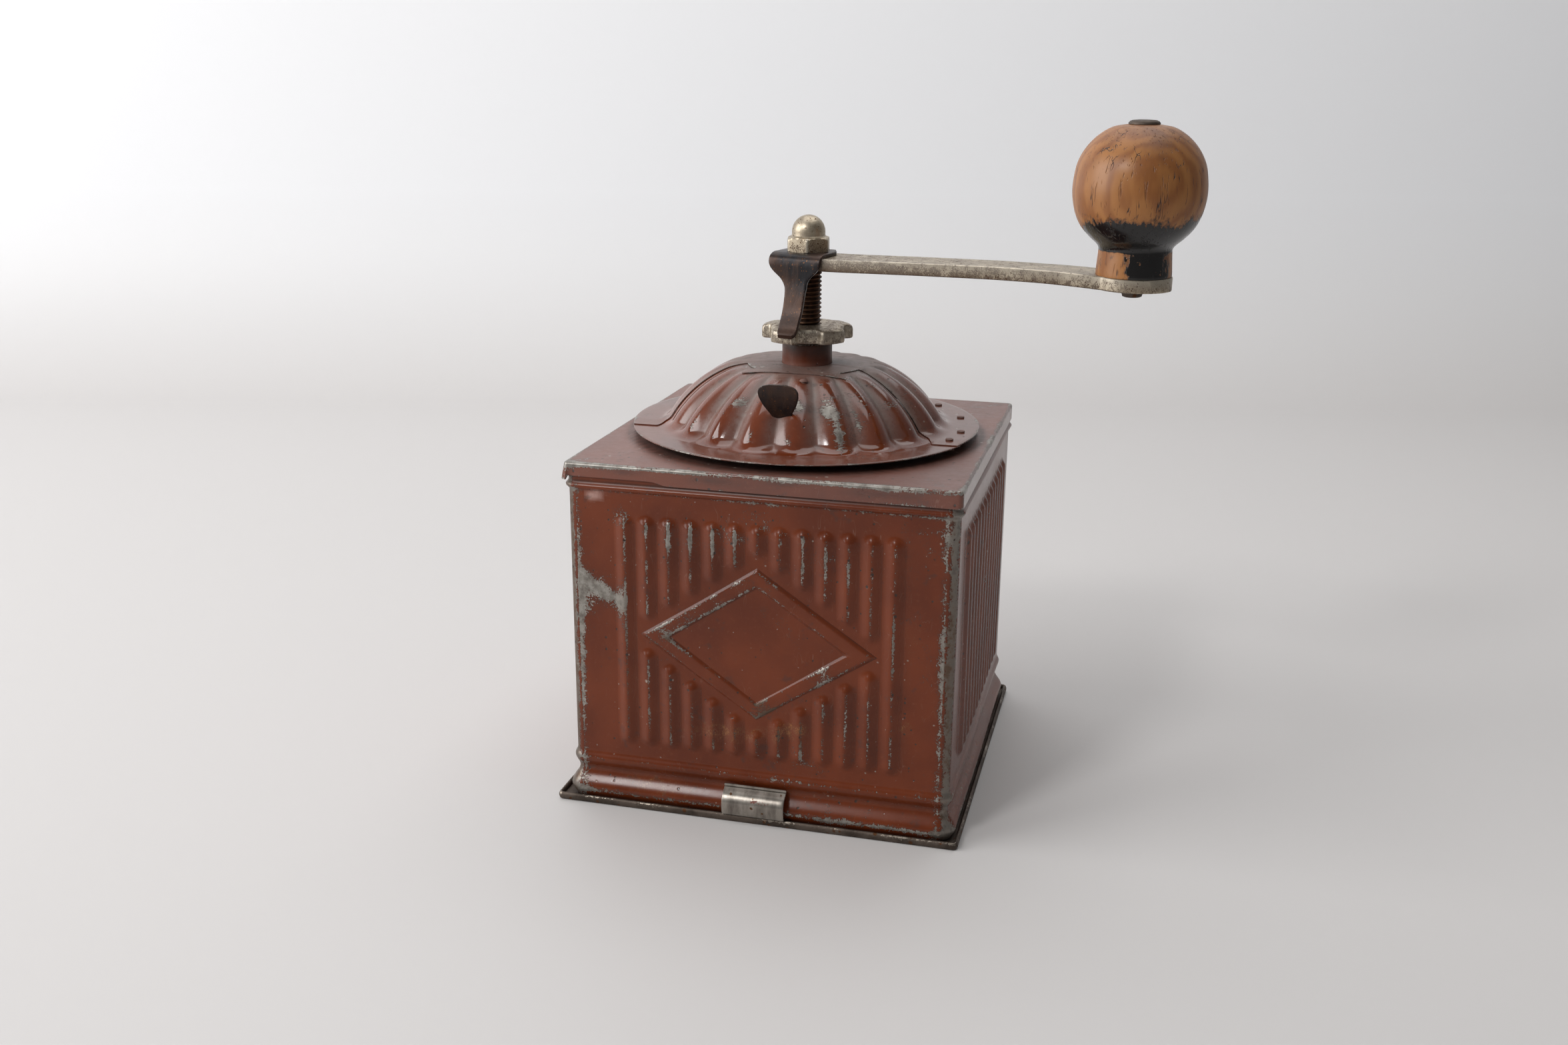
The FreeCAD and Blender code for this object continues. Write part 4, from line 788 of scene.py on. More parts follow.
flange_radius = 51.0
cowl_flange_top = 103.9
crown_top = 121.6
crown_fall = 0.5
crown_edge = 17.0
crown_reach = 22.1
crown_side = 17.4
slit_cut = 16.2
slit_half_turn = np.radians(43.5)
slit_round = np.radians(2.5)
lip_sheet = 0.2
lip_step = 0.3
arc_centre = (9.8, 87.6)
arc_radius = 35.7
arc_end = np.radians(66.0)
foot_rise = 2.0
foot_radius = 41.8
flute_count = 20
flute_depth = 2.2
passing_flute = 0.5
passing_start = np.radians(100.0)
passing_change = np.radians(40.0)
press_turn = np.radians(9.0)
valley_soft = 0.14
neck_hole = 7.45
hopper_sheet = 0.35
door_gap = 0.45
cowl_cut = 18.0
joint_turn = np.radians(18.0)
hopper_dust = (0.215, 0.192, 0.175)
rivet_dust = (0.150, 0.105, 0.090)


def crown_height(radius):
    """The crown's gentle bulge: highest at the neck, falling with the square of the radius."""
    return crown_top - crown_fall * (radius / crown_reach) ** 2


def on_circle(centre, radius, turn):
    """Points of a circle at the given turns, as rows of (radius, height)."""
    return np.column_stack([centre[0] + radius * np.cos(turn), centre[1] + radius * np.sin(turn)])


def filleted(start, corner, end):
    """A parabola between start and end that leaves and arrives along the lines to the corner."""
    t = np.linspace(0, 1, 12)[1:-1, None]
    return (1 - t) ** 2 * start + 2 * t * (1 - t) * corner + t ** 2 * end


def dome_profile():
    """The cowl's crest line from the flange's rim to the neck's hole, and the flutes' share along it.

    Rows of (radius, height): a flat flange, a fillet, the dome's arc, a round shoulder and the crown.
    The flutes fade at both ends of the dome.
    """
    low = np.arcsin((cowl_flange_top + foot_rise - arc_centre[1]) / arc_radius)
    arc = on_circle(arc_centre, arc_radius, np.linspace(low, arc_end, 44))
    half = hopper_sheet / 2
    rim_centre = (flange_radius - half, cowl_flange_top - half)
    rim = on_circle(rim_centre, half, np.linspace(-0.4 * np.pi, np.pi / 2, 6))
    inwards = np.linspace(flange_radius - 1.2, arc[0, 0] + 3.4, 9)
    flange = np.column_stack([inwards, np.full(9, cowl_flange_top)])
    fillet = filleted(flange[-1], arc[0] + foot_rise * np.array([np.tan(low), -1.0]), arc[0])
    inwards = np.linspace(crown_edge, neck_hole, 12)
    crown = np.column_stack([inwards, crown_height(inwards)])
    bend = np.array([arc[-1, 0] - (crown[0, 1] - arc[-1, 1]) * np.tan(arc_end), crown[0, 1]])
    line = np.concatenate([rim, flange, fillet, arc, filleted(arc[-1], bend, crown[0]), crown])
    fade_top = np.sin(np.pi / 2 * np.clip((line[:, 0] - crown_edge - 0.5) / 8, 0, 1))
    fade_foot = ramp(line[:, 1], cowl_flange_top, foot_rise) ** 0.7
    return line, fade_top * fade_foot


def valley(turn):
    """One in the middle of each valley, nought on the lobes: one less a sine's size, its cusp softened."""
    swing = np.sin(flute_count / 2 * (turn + np.pi / 2))
    softened = np.sqrt(swing ** 2 + valley_soft ** 2) - valley_soft
    return np.maximum(1 - softened / (np.hypot(1, valley_soft) - valley_soft), 0)


def turned(radius, turn, height):
    """Points at a radius, at a turn about Z and at a height."""
    return np.dstack(np.broadcast_arrays(radius * np.cos(turn), radius * np.sin(turn), height))


def fluted(line, inwards, turn):
    """The dome at each turn: the crest line with its radius made smaller by the given amounts."""
    return turned(line[:, :1] - inwards, turn, line[:, 1:])


def softly(share):
    """A share from nought to one that starts and ends gently: three of its squares less two of its cubes."""
    return share ** 2 * (3 - 2 * share)


def clear_side(turn, radius):
    """One on the right of the dome, where the door never passes beneath; nought on the left and the crown."""
    behind = ramp(turn, passing_start, passing_change)
    return (1 - softly(behind)) * softly(ramp(radius, crown_side, 4))


def pressed(line, fade, gap):
    """The crest line moved in along its normals by a gap and the shallow flutes; on the rim downwards."""
    ahead = np.gradient(line, axis=0)
    normal = np.column_stack([ahead[:, 1], -ahead[:, 0]]) / np.linalg.norm(ahead, axis=1)[:, None]
    moved = line - (gap + passing_flute * fade)[:, None] * normal
    return np.where(line[:, :1] > flange_radius - 2, line - np.array([0, gap]), moved)


def two_skins(points, thickness):
    """The grid and a copy moved inwards along its normals, as one closed strip with its side edges joined."""
    normal = np.cross(np.gradient(points, axis=0), np.gradient(points, axis=1))
    normal /= np.maximum(np.linalg.norm(normal, axis=2)[..., None], 1e-9)
    normal *= np.sign(normal[..., 2].mean())
    inner = points - thickness * normal
    loop = np.concatenate([points, inner[::-1]])
    middle = (points + inner) / 2
    sides = np.concatenate([middle, middle[::-1]])
    return np.concatenate([sides[:, :1], loop, sides[:, -1:]], axis=1)


def doubled(values):
    """A mask of the outer skin, repeated for the inner skin and the joined edges of two_skins."""
    loop = np.concatenate([values, values[::-1]])
    return np.concatenate([loop[:, :1], loop, loop[:, -1:]], axis=1)


def hopper_shell(name, points, thickness, masks):
    """A piece of the dome as a closed shell, with its masks of wear, dust and grime."""
    wear, dust, grime = [doubled(values) for values in masks]
    grid = two_skins(points, thickness)
    return surface(name, grid, hopper_enamel, "rows", 60, wear=wear, dust=dust, grime=grime)


def joint_tip(radius, cut, turn):
    """How far a side edge lies before the middle: a straight cut on the flange, a flute's valley above it."""
    share = ramp(radius, foot_radius, 2.4)
    return (1 - share) * turn + share * np.arcsin(np.clip(cut / radius, 0, 1))


def hopper_masks(points, hollow):
    """Wear on the lobes and the rim, dust in the valleys that thickens upwards, and grime on the crown."""
    up = ramp(points[..., 2], cowl_flange_top, crown_top - cowl_flange_top)
    crown = ramp(up, 0.90, 0.08)
    reach = np.linalg.norm(points[..., :2], axis=2)
    flat = ramp(reach, foot_radius, 2)
    wear = plain_wear + 0.04 * (1 - hollow) + 0.2 * bell(reach, flange_radius, 0.4)
    dust = (0.36 + 0.74 * up) * hollow ** 1.2 + 0.09 * up + 0.62 * crown + 0.2 * flat
    return wear, np.minimum(dust, 1), 0.2 * crown


def cowl_surface():
    """The dome's crest line carried round its rear from joint to joint.

    Its flutes are shallow on the left, where the door passes beneath, and as deep as the door's on the right.
    Its two edges are thinner and lie close on the door.  Also returns the sheet's thickness and the masks.
    """
    line, fade = dome_profile()
    tip = joint_tip(line[:, :1], cowl_cut, joint_turn)
    turn = -tip + np.linspace(0, 1, 300) * (np.pi + 2 * tip)
    low = clear_side(turn, line[:, :1])
    hollow = valley(turn) * fade[:, None]
    depth = passing_flute + (flute_depth - passing_flute) * low
    points = fluted(line, passing_flute * low * fade[:, None] + depth * hollow, turn)
    from_edge = np.minimum(np.pi + tip - turn, turn + tip)
    press = (1 - softly(ramp(from_edge, 0, press_turn)))[..., None]
    close = fluted(pressed(line, fade, door_gap - lip_step), flute_depth * low * hollow, turn)
    points += press * (close - points)
    return points, hopper_sheet + (lip_sheet - hopper_sheet) * press, hopper_masks(points, hollow)


def crown_lip_surface():
    """The crown's front: a sector of the dome's top, cut straight at a slit in front and round at its sides.

    It lies close on the door, as the cowl's edges do.
    """
    line, fade = dome_profile()
    top = line[:, 0] < crown_reach + 4
    upwards, share_of_flutes = line[top][::-1], fade[top][::-1]
    turn = np.linspace(-np.pi + joint_turn, -joint_turn, 241)
    from_front = np.abs(turn + np.pi / 2)
    reach = slit_cut / np.cos(np.minimum(from_front, slit_half_turn))
    reach = reach + (crown_side - reach) * softly(ramp(from_front, slit_half_turn, slit_round))
    radius = neck_hole + np.linspace(0, 1, 19)[:, None] * (reach - neck_hole)
    lowered = door_gap - lip_step + passing_flute * np.interp(radius, upwards[:, 0], share_of_flutes)
    height = np.interp(radius, upwards[:, 0], upwards[:, 1]) - lowered
    points = turned(radius, turn, height)
    wear, dust, grime = hopper_masks(points, np.zeros_like(height))
    return points, lip_sheet, (wear + 0.16 * bell(radius, reach, 0.4), dust, grime)


hopper_enamel = worn_enamel("hopper_enamel", 0.06, 0.7, 0.8, hopper_dust, 340.0,
                            rubbed=(0.45, 0.45, 1.6))
hopper_cowl = hopper_shell("cowl_shell", *cowl_surface())
crown_lip = hopper_shell("crown_lip", *crown_lip_surface())
for shell in (hopper_cowl, crown_lip):
    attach(shell, "housing")
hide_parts("hopper_cowl")
rivet_enamel = worn_enamel("rivet_enamel", 0.3, 0.4, 0.75, rivet_dust, 340.0, 0.8)
dress(rivet_enamel, "cowl_rivets", "tab_rivet")


# Hopper door
# The front part of the dome, a second fluted shell that turns on the neck below the cowl.
# Rubbing has taken the enamel off its lobes in bands beside the thumb tongue.

door_edge = 16.2
door_turn = np.radians(14.0)
door_slit = np.radians(0.25)
door_fade = np.radians(6.0)
eye_radius = 13.0
eye_top = 120.9
# Ovals on the door: strength, turn in degrees, level, half sizes
door_spots = [(0.32, -113.0, 114.4, 4.4, 1.6), (0.34, -81.0, 114.9, 4.4, 1.5), (0.35, -66.0, 114.0, 4.4, 1.7),
              (0.28, -62.5, 108.5, 1.9, 4.5), (0.24, -83.5, 106.8, 1.8, 1.6), (0.24, -100.0, 107.4, 1.4, 1.6),
              (0.24, -133.0, 107.5, 1.5, 2.5), (0.22, -118.0, 112.0, 1.6, 1.6), (0.2, -52.0, 111.0, 1.2, 3.0)]


def door_surface():
    """The cowl's crest line moved in by the gap and the shallow flutes, carried round the front.

    Its own flutes are deep.  On the left it reaches below the cowl and its flutes fade there; on the right it
    stops at a slit.
    """
    line, fade = dome_profile()
    line = pressed(line, fade, door_gap)
    kept = line[:, 0] > eye_radius - 0.5
    line, fade = line[kept], fade[kept]
    left = joint_tip(line[:, :1], door_edge, door_turn)
    right = joint_tip(line[:, :1], door_edge, joint_turn + door_slit)
    turn = -np.pi + left + np.linspace(0, 1, 260) * (np.pi - left - right)
    below_cowl = bell(turn, joint_turn - np.pi, door_fade)
    hollow = valley(turn) * fade[:, None] * (1 - 0.95 * below_cowl)
    points = fluted(line, flute_depth * hollow, turn)
    wear, dust, grime = hopper_masks(points, hollow)
    rubbed = patches(np.degrees(turn), points[..., 2], *door_spots)
    return points, hopper_sheet, (wear + rubbed, dust, grime)


def door_eye_surface():
    """A flat ring about the neck, out to the door's crown, above and below its sheet."""
    turn = np.linspace(-np.pi, np.pi, 96, endpoint=False)
    under = eye_top - hopper_sheet
    radius = np.array([neck_hole, eye_radius, eye_radius, neck_hole])
    return turned(radius[:, None], turn, np.array([eye_top, eye_top, under, under])[:, None])


hopper_door = hopper_shell("door_shell", *door_surface())
door_eye = surface("door_eye", door_eye_surface(), hopper_enamel, "rows columns", 40)
for leaf in (hopper_door, door_eye):
    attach(leaf, "door")
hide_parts("hopper_door")


# Thumb tongue
# A small spoon of blackened spring steel, browned by rust and bent up for the thumb.
# Its foot is clinched through a slit in the door.

tab_line = [(-29.0, 112.4), (-30.6, 111.5), (-32.3, 111.9), (-34.0, 114.6), (-35.3, 118.0), (-36.0, 120.8),
            (-36.1, 121.7)]
tab_low = 112.0
tab_thickness = 0.9
tab_widths = [(0.0, 2.5), (0.18, 3.5), (0.4, 4.8), (0.62, 5.6), (0.78, 5.75), (0.9, 5.2), (0.96, 4.2),
              (1.0, 2.4)]
tab_lean = (1.0, 0.5)
tab_rust = 0.15
black_steel = (0.016, 0.015, 0.017)
black_streak = (0.05, 0.03, 0.022)
black_browned = (0.062, 0.030, 0.018)
black_rubbed = (0.24, 0.22, 0.20)


def blackened_steel():
    """Blackened spring steel: near black, browned by rust in upright streaks, rubbed grey on edges."""
    coat = Coat("blackened_steel")
    streak = coat.noise(420.0, 6.0, 0.65, (1.0, 1.0, 0.25))
    cloud = coat.noise(110.0, 4.0)
    coat.ground(streak, 0.45, 0.72, black_steel, black_streak)
    coat.lay(coat.step(coat.plus(cloud, coat.mask("rust")), 0.5, 0.85), black_browned, 0.8)
    coat.lay(coat.speckled(1400.0, 0.3, 0.3), fine_rust)
    bare, _ = coat.worn(coat.times(coat.mask("edge"), 0.42), 500.0, 1.0)
    coat.lay(bare, black_rubbed, 0.5)
    return coat.done(streak, 0.00012, Roughness=coat.shade(streak, 0.26, 0.5), Metallic=0.6)


blackened_finish = blackened_steel()
tab_bend = smooth_line(tab_line, 7)
tab_share = ramp(tab_bend[:, 1], tab_low, tab_line[-1][1] - tab_low)
tab_path = np.column_stack([tab_lean[0] * (1 - tab_share) + tab_lean[1] * tab_share, tab_bend])
tab_half = np.interp(tab_share, *np.array(tab_widths).T)
tab_rows, tab_edge = strap(tab_path, to_the_right, tab_half, tab_thickness, 0.3)
door_tab = surface("thumb_tongue", tab_rows, blackened_finish, "columns", 50, edge=tab_edge, rust=tab_rust)
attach(door_tab, "door")
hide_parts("door_tab")


# Neck bush
# The painted tube that stands on the hopper frame and carries the spindle through the crown.
# Paint is rubbed off its top edge, and dust lies at its foot.

neck_profile = [(4.05, 94.1), (7.35, 94.1), (7.35, 117.6), (10.0, 117.6), (10.0, 119.6), (7.35, 119.6),
                (7.35, 121.6), (7.3, 123.0), (7.3, 126.9), (7.2, 127.4), (6.9, 127.7), (4.05, 127.7)]


def lathe(profile, columns=72, per_side=1):
    """A profile of (radius, height) corners turned about Z; each side is divided evenly."""
    line = np.array(profile, float)
    t = np.linspace(0, 1, per_side, endpoint=False)[:, None]
    line = np.concatenate([(line[:-1, None] * (1 - t) + line[1:, None] * t).reshape(-1, 2), line[-1:]])
    turn = np.linspace(0, 2 * np.pi, columns, endpoint=False)
    return turned(line[:, :1], turn, line[:, 1:])


neck_points = lathe(neck_profile, per_side=4)
neck_height = neck_points[..., 2]
neck_wear = plain_wear + 0.3 * bell(neck_height, 127.6, 0.4)
neck_dust = 0.25 * bell(neck_height, crown_top, 0.8)
# Painted shade under the wheel: the tube darkened all over, most near its top.
neck_grime = 0.45 + 0.6 * ramp(neck_height, 122.5, 4)
neck_bush = surface("neck_tube", neck_points, box_enamel, "rows columns", 40, wear=neck_wear, dust=neck_dust,
                    grime=neck_grime)
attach(neck_bush, "housing")
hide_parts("neck_bush")


# Spindle, its lower bush and washer
# A plain steel shaft gone brown: a journal below, a screw thread above the neck, a square for the arm.
# It turns in the neck and in the lower bush, and the washer takes the wheel's thrust.

spindle_radius = 4.0
journal_radius = 3.5
journal_low = 46.9
journal_high = 60.9
thread_pitch = 1.25
thread_depth = 0.62
thread_low = 127.9
thread_high = 148.9
arm_bottom = 149.1
arm_top = 152.6
square_half = 2.97
tip_radius = 3.0
cap_seat = 153.8
crank_turn = np.radians(-13.0)
shaft_root = (0.022, 0.012, 0.008)
shaft_brown = (0.085, 0.04, 0.022)
shaft_crest = (0.21, 0.11, 0.062)


def spindle_surface():
    """A turned shaft: plain, then with a thread, then square, then round.

    The thread's depth is a triangle wave of height less turn.  Also returns a mask that is one on its crests.
    """
    turn = np.linspace(0, 2 * np.pi, 64, endpoint=False)
    low = [(0.0, journal_low), (journal_radius, journal_low), (journal_radius, journal_high),
           (spindle_radius, journal_high), (spindle_radius, 127.0)]
    thread = np.column_stack([np.full(170, spindle_radius), np.linspace(thread_low, thread_high, 170)])
    high = [(spindle_radius, arm_bottom - 0.05), (tip_radius, arm_bottom), (tip_radius, arm_top),
            (tip_radius, arm_top + 0.05), (tip_radius, 157.0), (2.6, 157.4), (0.0, 157.4)]
    line = np.concatenate([low, thread, high])
    height = line[:, 1:]
    phase = (height / thread_pitch - turn / (2 * np.pi)) % 1
    threaded = ((height >= thread_low) & (height <= thread_high)).astype(float)
    groove = thread_depth * np.clip(1.15 * (1 - np.abs(2 * phase - 1)) - 0.08, 0, 1)
    square = (height >= arm_bottom) & (height <= arm_top)
    side = np.maximum(np.abs(np.cos(turn - crank_turn)), np.abs(np.sin(turn - crank_turn)))
    radius = np.where(square, square_half / side, line[:, :1] - threaded * groove)
    return turned(radius, turn, height), threaded * (1 - groove / thread_depth)


def shaft_steel():
    """Plain steel browned all over: dark rust in the thread's roots, lighter brown metal on its crests."""
    coat = Coat("shaft_steel")
    cloud = coat.noise(420.0, 6.0, 0.65)
    coat.ground(cloud, 0.35, 0.68, shaft_root, shaft_brown)
    coat.lay(coat.step(coat.mask("crest"), 0.5, 1.0), shaft_crest, 0.75)
    return coat.done(cloud, 0.00008, Roughness=coat.shade(cloud, 0.38, 0.65), Metallic=0.75)


shaft_finish = shaft_steel()
spindle_points, spindle_crest = spindle_surface()
spindle = surface("screw_spindle", spindle_points, shaft_finish, "columns", 50, crest=spindle_crest)
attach(spindle, "crank")
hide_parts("spindle")
dress(shaft_finish, "lower_bush", "thrust_washer")


# Notched grind wheel
# A nickelled wheel with five filed lobes, screwed on the spindle's thread.
# Turning it lifts the spindle and sets the grind; the lobes show file marks and brown pits.

wheel_low = 128.5
wheel_high = 132.8
wheel_bore = 4.1
lobe_count = 5
lobe_radius = 13.3
root_radius = 10.9
lobe_half = np.radians(20.0)
lobe_flank = np.radians(1.9)
first_lobe = np.radians(-39.5)
wheel_rust = 0.42
# Share of the rim's radius and height of each ring between the bore's two edges, from below upwards
wheel_rings = [(0.5, wheel_low), (0.95, wheel_low), (0.985, wheel_low + 0.15), (1.0, wheel_low + 0.6),
               (1.0, wheel_low + 1.6), (1.0, wheel_low + 2.8), (0.99, wheel_high - 0.75),
               (0.965, wheel_high - 0.3), (0.9, wheel_high - 0.08), (0.75, wheel_high), (0.5, wheel_high)]
nickel_dull = (0.30, 0.245, 0.178)
nickel_light = (0.54, 0.465, 0.355)
nickel_pit = (0.085, 0.048, 0.028)
nickel_stain = (0.17, 0.115, 0.075)
nickel_specks = (0.095, 0.05, 0.028)
nickel_bright = (0.62, 0.58, 0.51)


def wheel_surface():
    """A disc whose rim goes in and out in five lobes with rounded flanks, carried over a bevelled edge."""
    turn = np.linspace(0, 2 * np.pi, 300, endpoint=False)
    fifth = 2 * np.pi / lobe_count
    off = np.abs((turn - first_lobe + fifth / 2) % fifth - fifth / 2)
    lobe = 0.5 - 0.5 * np.tanh((off - lobe_half) / lobe_flank)
    rim = root_radius + (lobe_radius - root_radius) * lobe
    filed = 0.10 * lobe * np.sin(turn * 83) * np.sin(turn * 31 + 1)
    share, height = np.array(wheel_rings).T[..., None]
    reach = np.minimum(share * rim + (np.abs(share - 1) < 0.02) * filed, lobe_radius)
    drop = 0.35 * lobe * ramp(share, 0.7, 0.3) * (height > wheel_low + 2)
    bore = np.full((1, len(turn)), wheel_bore)
    level = np.concatenate([np.full_like(bore, wheel_low), height - drop, np.full_like(bore, wheel_high)])
    edge = np.pad(bell(share, 0.985, 0.02), ((1, 1), (0, 0)))
    return turned(np.concatenate([bore, reach, bore]), turn, level), edge


def worn_nickel():
    """Dull nickel plate: warm grey with smears, brown pits where the mask says so, bright on edges."""
    coat = Coat("worn_nickel")
    cloud = coat.noise(150.0, 6.0, 0.65)
    coat.ground(cloud, 0.3, 0.7, nickel_dull, nickel_light)
    rust = coat.mask("rust")
    pits, pit_rim = coat.worn(rust, 620.0, 1.5)
    coat.lay(pit_rim, nickel_stain, 0.6)
    coat.lay(pits, nickel_pit, 0.85)
    coat.lay(coat.speckled(1500.0, coat.times(rust, 0.8), 0.34), nickel_specks)
    coat.lay(coat.mask("edge"), nickel_bright, 0.7)
    rough = coat.shade(pits, coat.shade(cloud, 0.3, 0.5), 0.7)
    height = coat.less(coat.times(coat.noise(1600.0, 4.0, 0.6), 0.3), pits)
    return coat.done(height, 0.00008, Roughness=rough, Metallic=coat.shade(pits, 0.95, 0.35))


nickel_finish = worn_nickel()
wheel_points, wheel_edge = wheel_surface()
adjusting_nut = surface("grind_wheel_disc", wheel_points, nickel_finish, "rows columns", 45,
                        edge=0.5 * wheel_edge, rust=wheel_rust)
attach(adjusting_nut, "grind_wheel")
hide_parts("adjusting_nut")


# Crank arm
# A flat nickelled bar, bowed a little, with a rounded end on the spindle and a round pad under the knob.
# Its front edge is thick with brown rust pits near the spindle and cleaner towards the knob.

arm_reach = 94.6
arm_half = 8.0
arm_waist = 7.0
arm_pad = 10.0
arm_bow = [(-8.0, 0.0), (9.0, 0.0), (34.0, 0.75), (58.0, 1.3), (76.0, 1.3), (88.0, 0.8), (104.6, 0.7)]
upwards = np.array([0.0, 0.0, 1.0])
arm_along = np.array([np.cos(crank_turn), np.sin(crank_turn), 0.0])
arm_left = np.array([-arm_along[1], arm_along[0], 0.0])


def evened(values, reach):
    """Each value replaced by the mean of itself and its neighbours up to the reach on both sides."""
    count = 2 * reach + 1
    return np.convolve(np.pad(values, reach, mode="edge"), np.ones(count) / count, mode="valid")


def arm_surface():
    """A rounded bar along a bowed line: its half width is a half circle at each end and straight between."""
    near = -arm_half * np.cos(np.linspace(0.02, np.pi / 2, 16))
    middle = np.linspace(1.0, arm_reach - 9.0, 60)
    far = arm_reach + arm_pad * np.sin(np.linspace(-1.0, np.pi / 2 - 0.02, 30))
    s = np.concatenate([near, middle[middle < far[0]], far])
    bow = evened(np.interp(s, *np.array(arm_bow).T), 4)
    taper = np.interp(s, [0, 0.74 * arm_reach, arm_reach - 6], [arm_half, arm_waist, 7.9])
    pad = np.sqrt(np.clip(arm_pad ** 2 - (s - arm_reach) ** 2, 0, None))
    root = np.sqrt(np.clip(arm_half ** 2 - s ** 2, 0, None))
    half = np.where(s < 0, root, np.where(s > arm_reach - 5.5, pad, np.maximum(taper, pad)))
    path = s[:, None] * arm_along + (0.5 * (arm_bottom + arm_top) + bow)[:, None] * upwards
    rows, edge = strap(path, arm_left, half, arm_top - arm_bottom, 0.45)
    reach = rows @ arm_along
    pitted = 0.62 - 0.17 * np.clip(reach / 80, 0, 1.2)
    upper = rows[..., 2] - np.interp(reach, s, path[:, 2]) > 1.45
    return rows, 0.5 * edge * upper, np.where(upper, 0.44 - 0.08 * ramp(reach, 0, 60), pitted)


arm_points, arm_edge, arm_rust = arm_surface()
crank_arm = surface("crank_bar", arm_points, nickel_finish, "columns", 35, edge=arm_edge, rust=arm_rust)
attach(crank_arm, "crank")
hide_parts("crank_arm")


# Lock spring
# A T of blackened spring steel: its head lies under the cap nut and wraps over the arm's front edge.
# The stem narrows, runs down and bends out at its tip, which rests between two lobes of the wheel.

spring_line = [(6.0, 153.2), (2.0, 153.2), (-3.0, 153.2), (-6.2, 153.15), (-8.1, 152.4), (-8.75, 150.8),
               (-8.85, 148.6), (-9.0, 146.0), (-9.9, 142.0), (-11.3, 137.6), (-13.4, 133.9), (-14.2, 132.6),
               (-15.0, 131.7), (-15.9, 131.2)]
spring_sheet = 1.2
spring_widths = [(0.0, 5.6), (0.05, 7.16), (0.1, 7.95), (0.16, 8.2), (0.43, 8.15), (0.48, 7.0), (0.515, 5.2),
                 (0.55, 4.0), (0.595, 3.35), (0.65, 3.15), (0.93, 3.0), (0.965, 2.9), (1.0, 2.2)]
stem_shift = 0.8


def spring_surface():
    """A flat strip along the bent line, as wide as the head, the shoulders, the stem and the tip."""
    line = smooth_line(spring_line, 8)
    path = line[:, :1] * arm_left + line[:, 1:] * upwards
    run = np.concatenate([[0], np.cumsum(np.linalg.norm(np.diff(path, axis=0), axis=1))])
    share = run / run[-1]
    half = evened(np.interp(share, *np.array(spring_widths).T), 3)
    path = path + stem_shift * (ramp(share, 0.45, 0.15) ** 2)[:, None] * arm_along
    rows, edge = strap(path, arm_along, half, spring_sheet, 0.35)
    browned = 0.22 * np.clip((146.0 - rows[..., 2]) / 12.0, 0, 1) + 0.1
    return rows, edge, browned


spring_points, spring_edge, spring_rust = spring_surface()
lock_spring = surface("lock_spring", spring_points, blackened_finish, "columns", 50, edge=spring_edge,
                      rust=spring_rust)
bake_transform(lock_spring)
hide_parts("lock_strap", "lock_tongue")


# Cap nut
# A domed hexagon nut in dull nickel, screwed on the end of the spindle.
# It clamps the spring and the arm, and its corners are rubbed bright.

cap_flats = 11.7
cap_corner = 6.65
cap_bore = 3.05
cap_hex_top = 157.9
cap_dome_radius = 4.8
cap_top = 164.0
cap_turn = np.radians(-80.0)
# Level and how far the corners are turned down there
cap_levels = [(cap_seat, 0.35), (cap_seat + 0.1, 0.0), (154.6, 0.0), (155.6, 0.0), (156.4, 0.0), (156.9, 0.0),
              (157.3, 0.25), (157.6, 0.55), (157.8, 0.9), (cap_hex_top, 1.35)]
cap_collar = [(5.05, cap_hex_top + 0.05), (4.85, cap_hex_top + 0.3), (cap_dome_radius, cap_hex_top + 0.7)]


def cap_surface():
    """A bore closed above, rows of a hexagon cut by a cone at its top, a round stem and a half ball."""
    turn = np.linspace(0, 2 * np.pi, 144, endpoint=False)
    sixth = np.pi / 3
    off = (turn - cap_turn) % sixth - sixth / 2
    hexagon = np.minimum(cap_flats / 2 / np.cos(off), cap_flats / 2 / np.cos(sixth / 2) - 0.12)
    level, cut = np.array(cap_levels).T
    hexa = np.minimum(hexagon, (cap_corner - cut)[:, None])
    middle = (0.0, cap_top - cap_dome_radius)
    upper = np.concatenate([cap_collar, on_circle(middle, cap_dome_radius, np.linspace(0, np.pi / 2, 20))])
    bore = np.array([(0.0, cap_hex_top), (cap_bore, cap_hex_top), (cap_bore, cap_seat)])
    round_bore, round_top = [np.repeat(line[:, :1], len(turn), axis=1) for line in (bore, upper)]
    radius = np.concatenate([round_bore, hexa, round_top])
    height = np.concatenate([bore[:, 1], level, upper[:, 1]])[:, None]
    ridge = bell(np.abs(off), sixth / 2, 0.05) * (height < cap_hex_top)
    return turned(radius, turn, height), ridge


cap_points, cap_edge = cap_surface()
cap_rust = 0.3 + 0.14 * bell(cap_points[..., 2], 155.0, 1.5)
cap_nut = surface("cap_nut_dome", cap_points, nickel_finish, "columns", 28, edge=0.6 * cap_edge,
                  rust=cap_rust)
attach(cap_nut, "crank")
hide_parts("cap_nut")


# Knob
# A ball with a short neck, turned from orange-brown wood with its grain upright.
# It was lacquered black; hands have worn the lacquer off all but the lower ball and part of the neck.

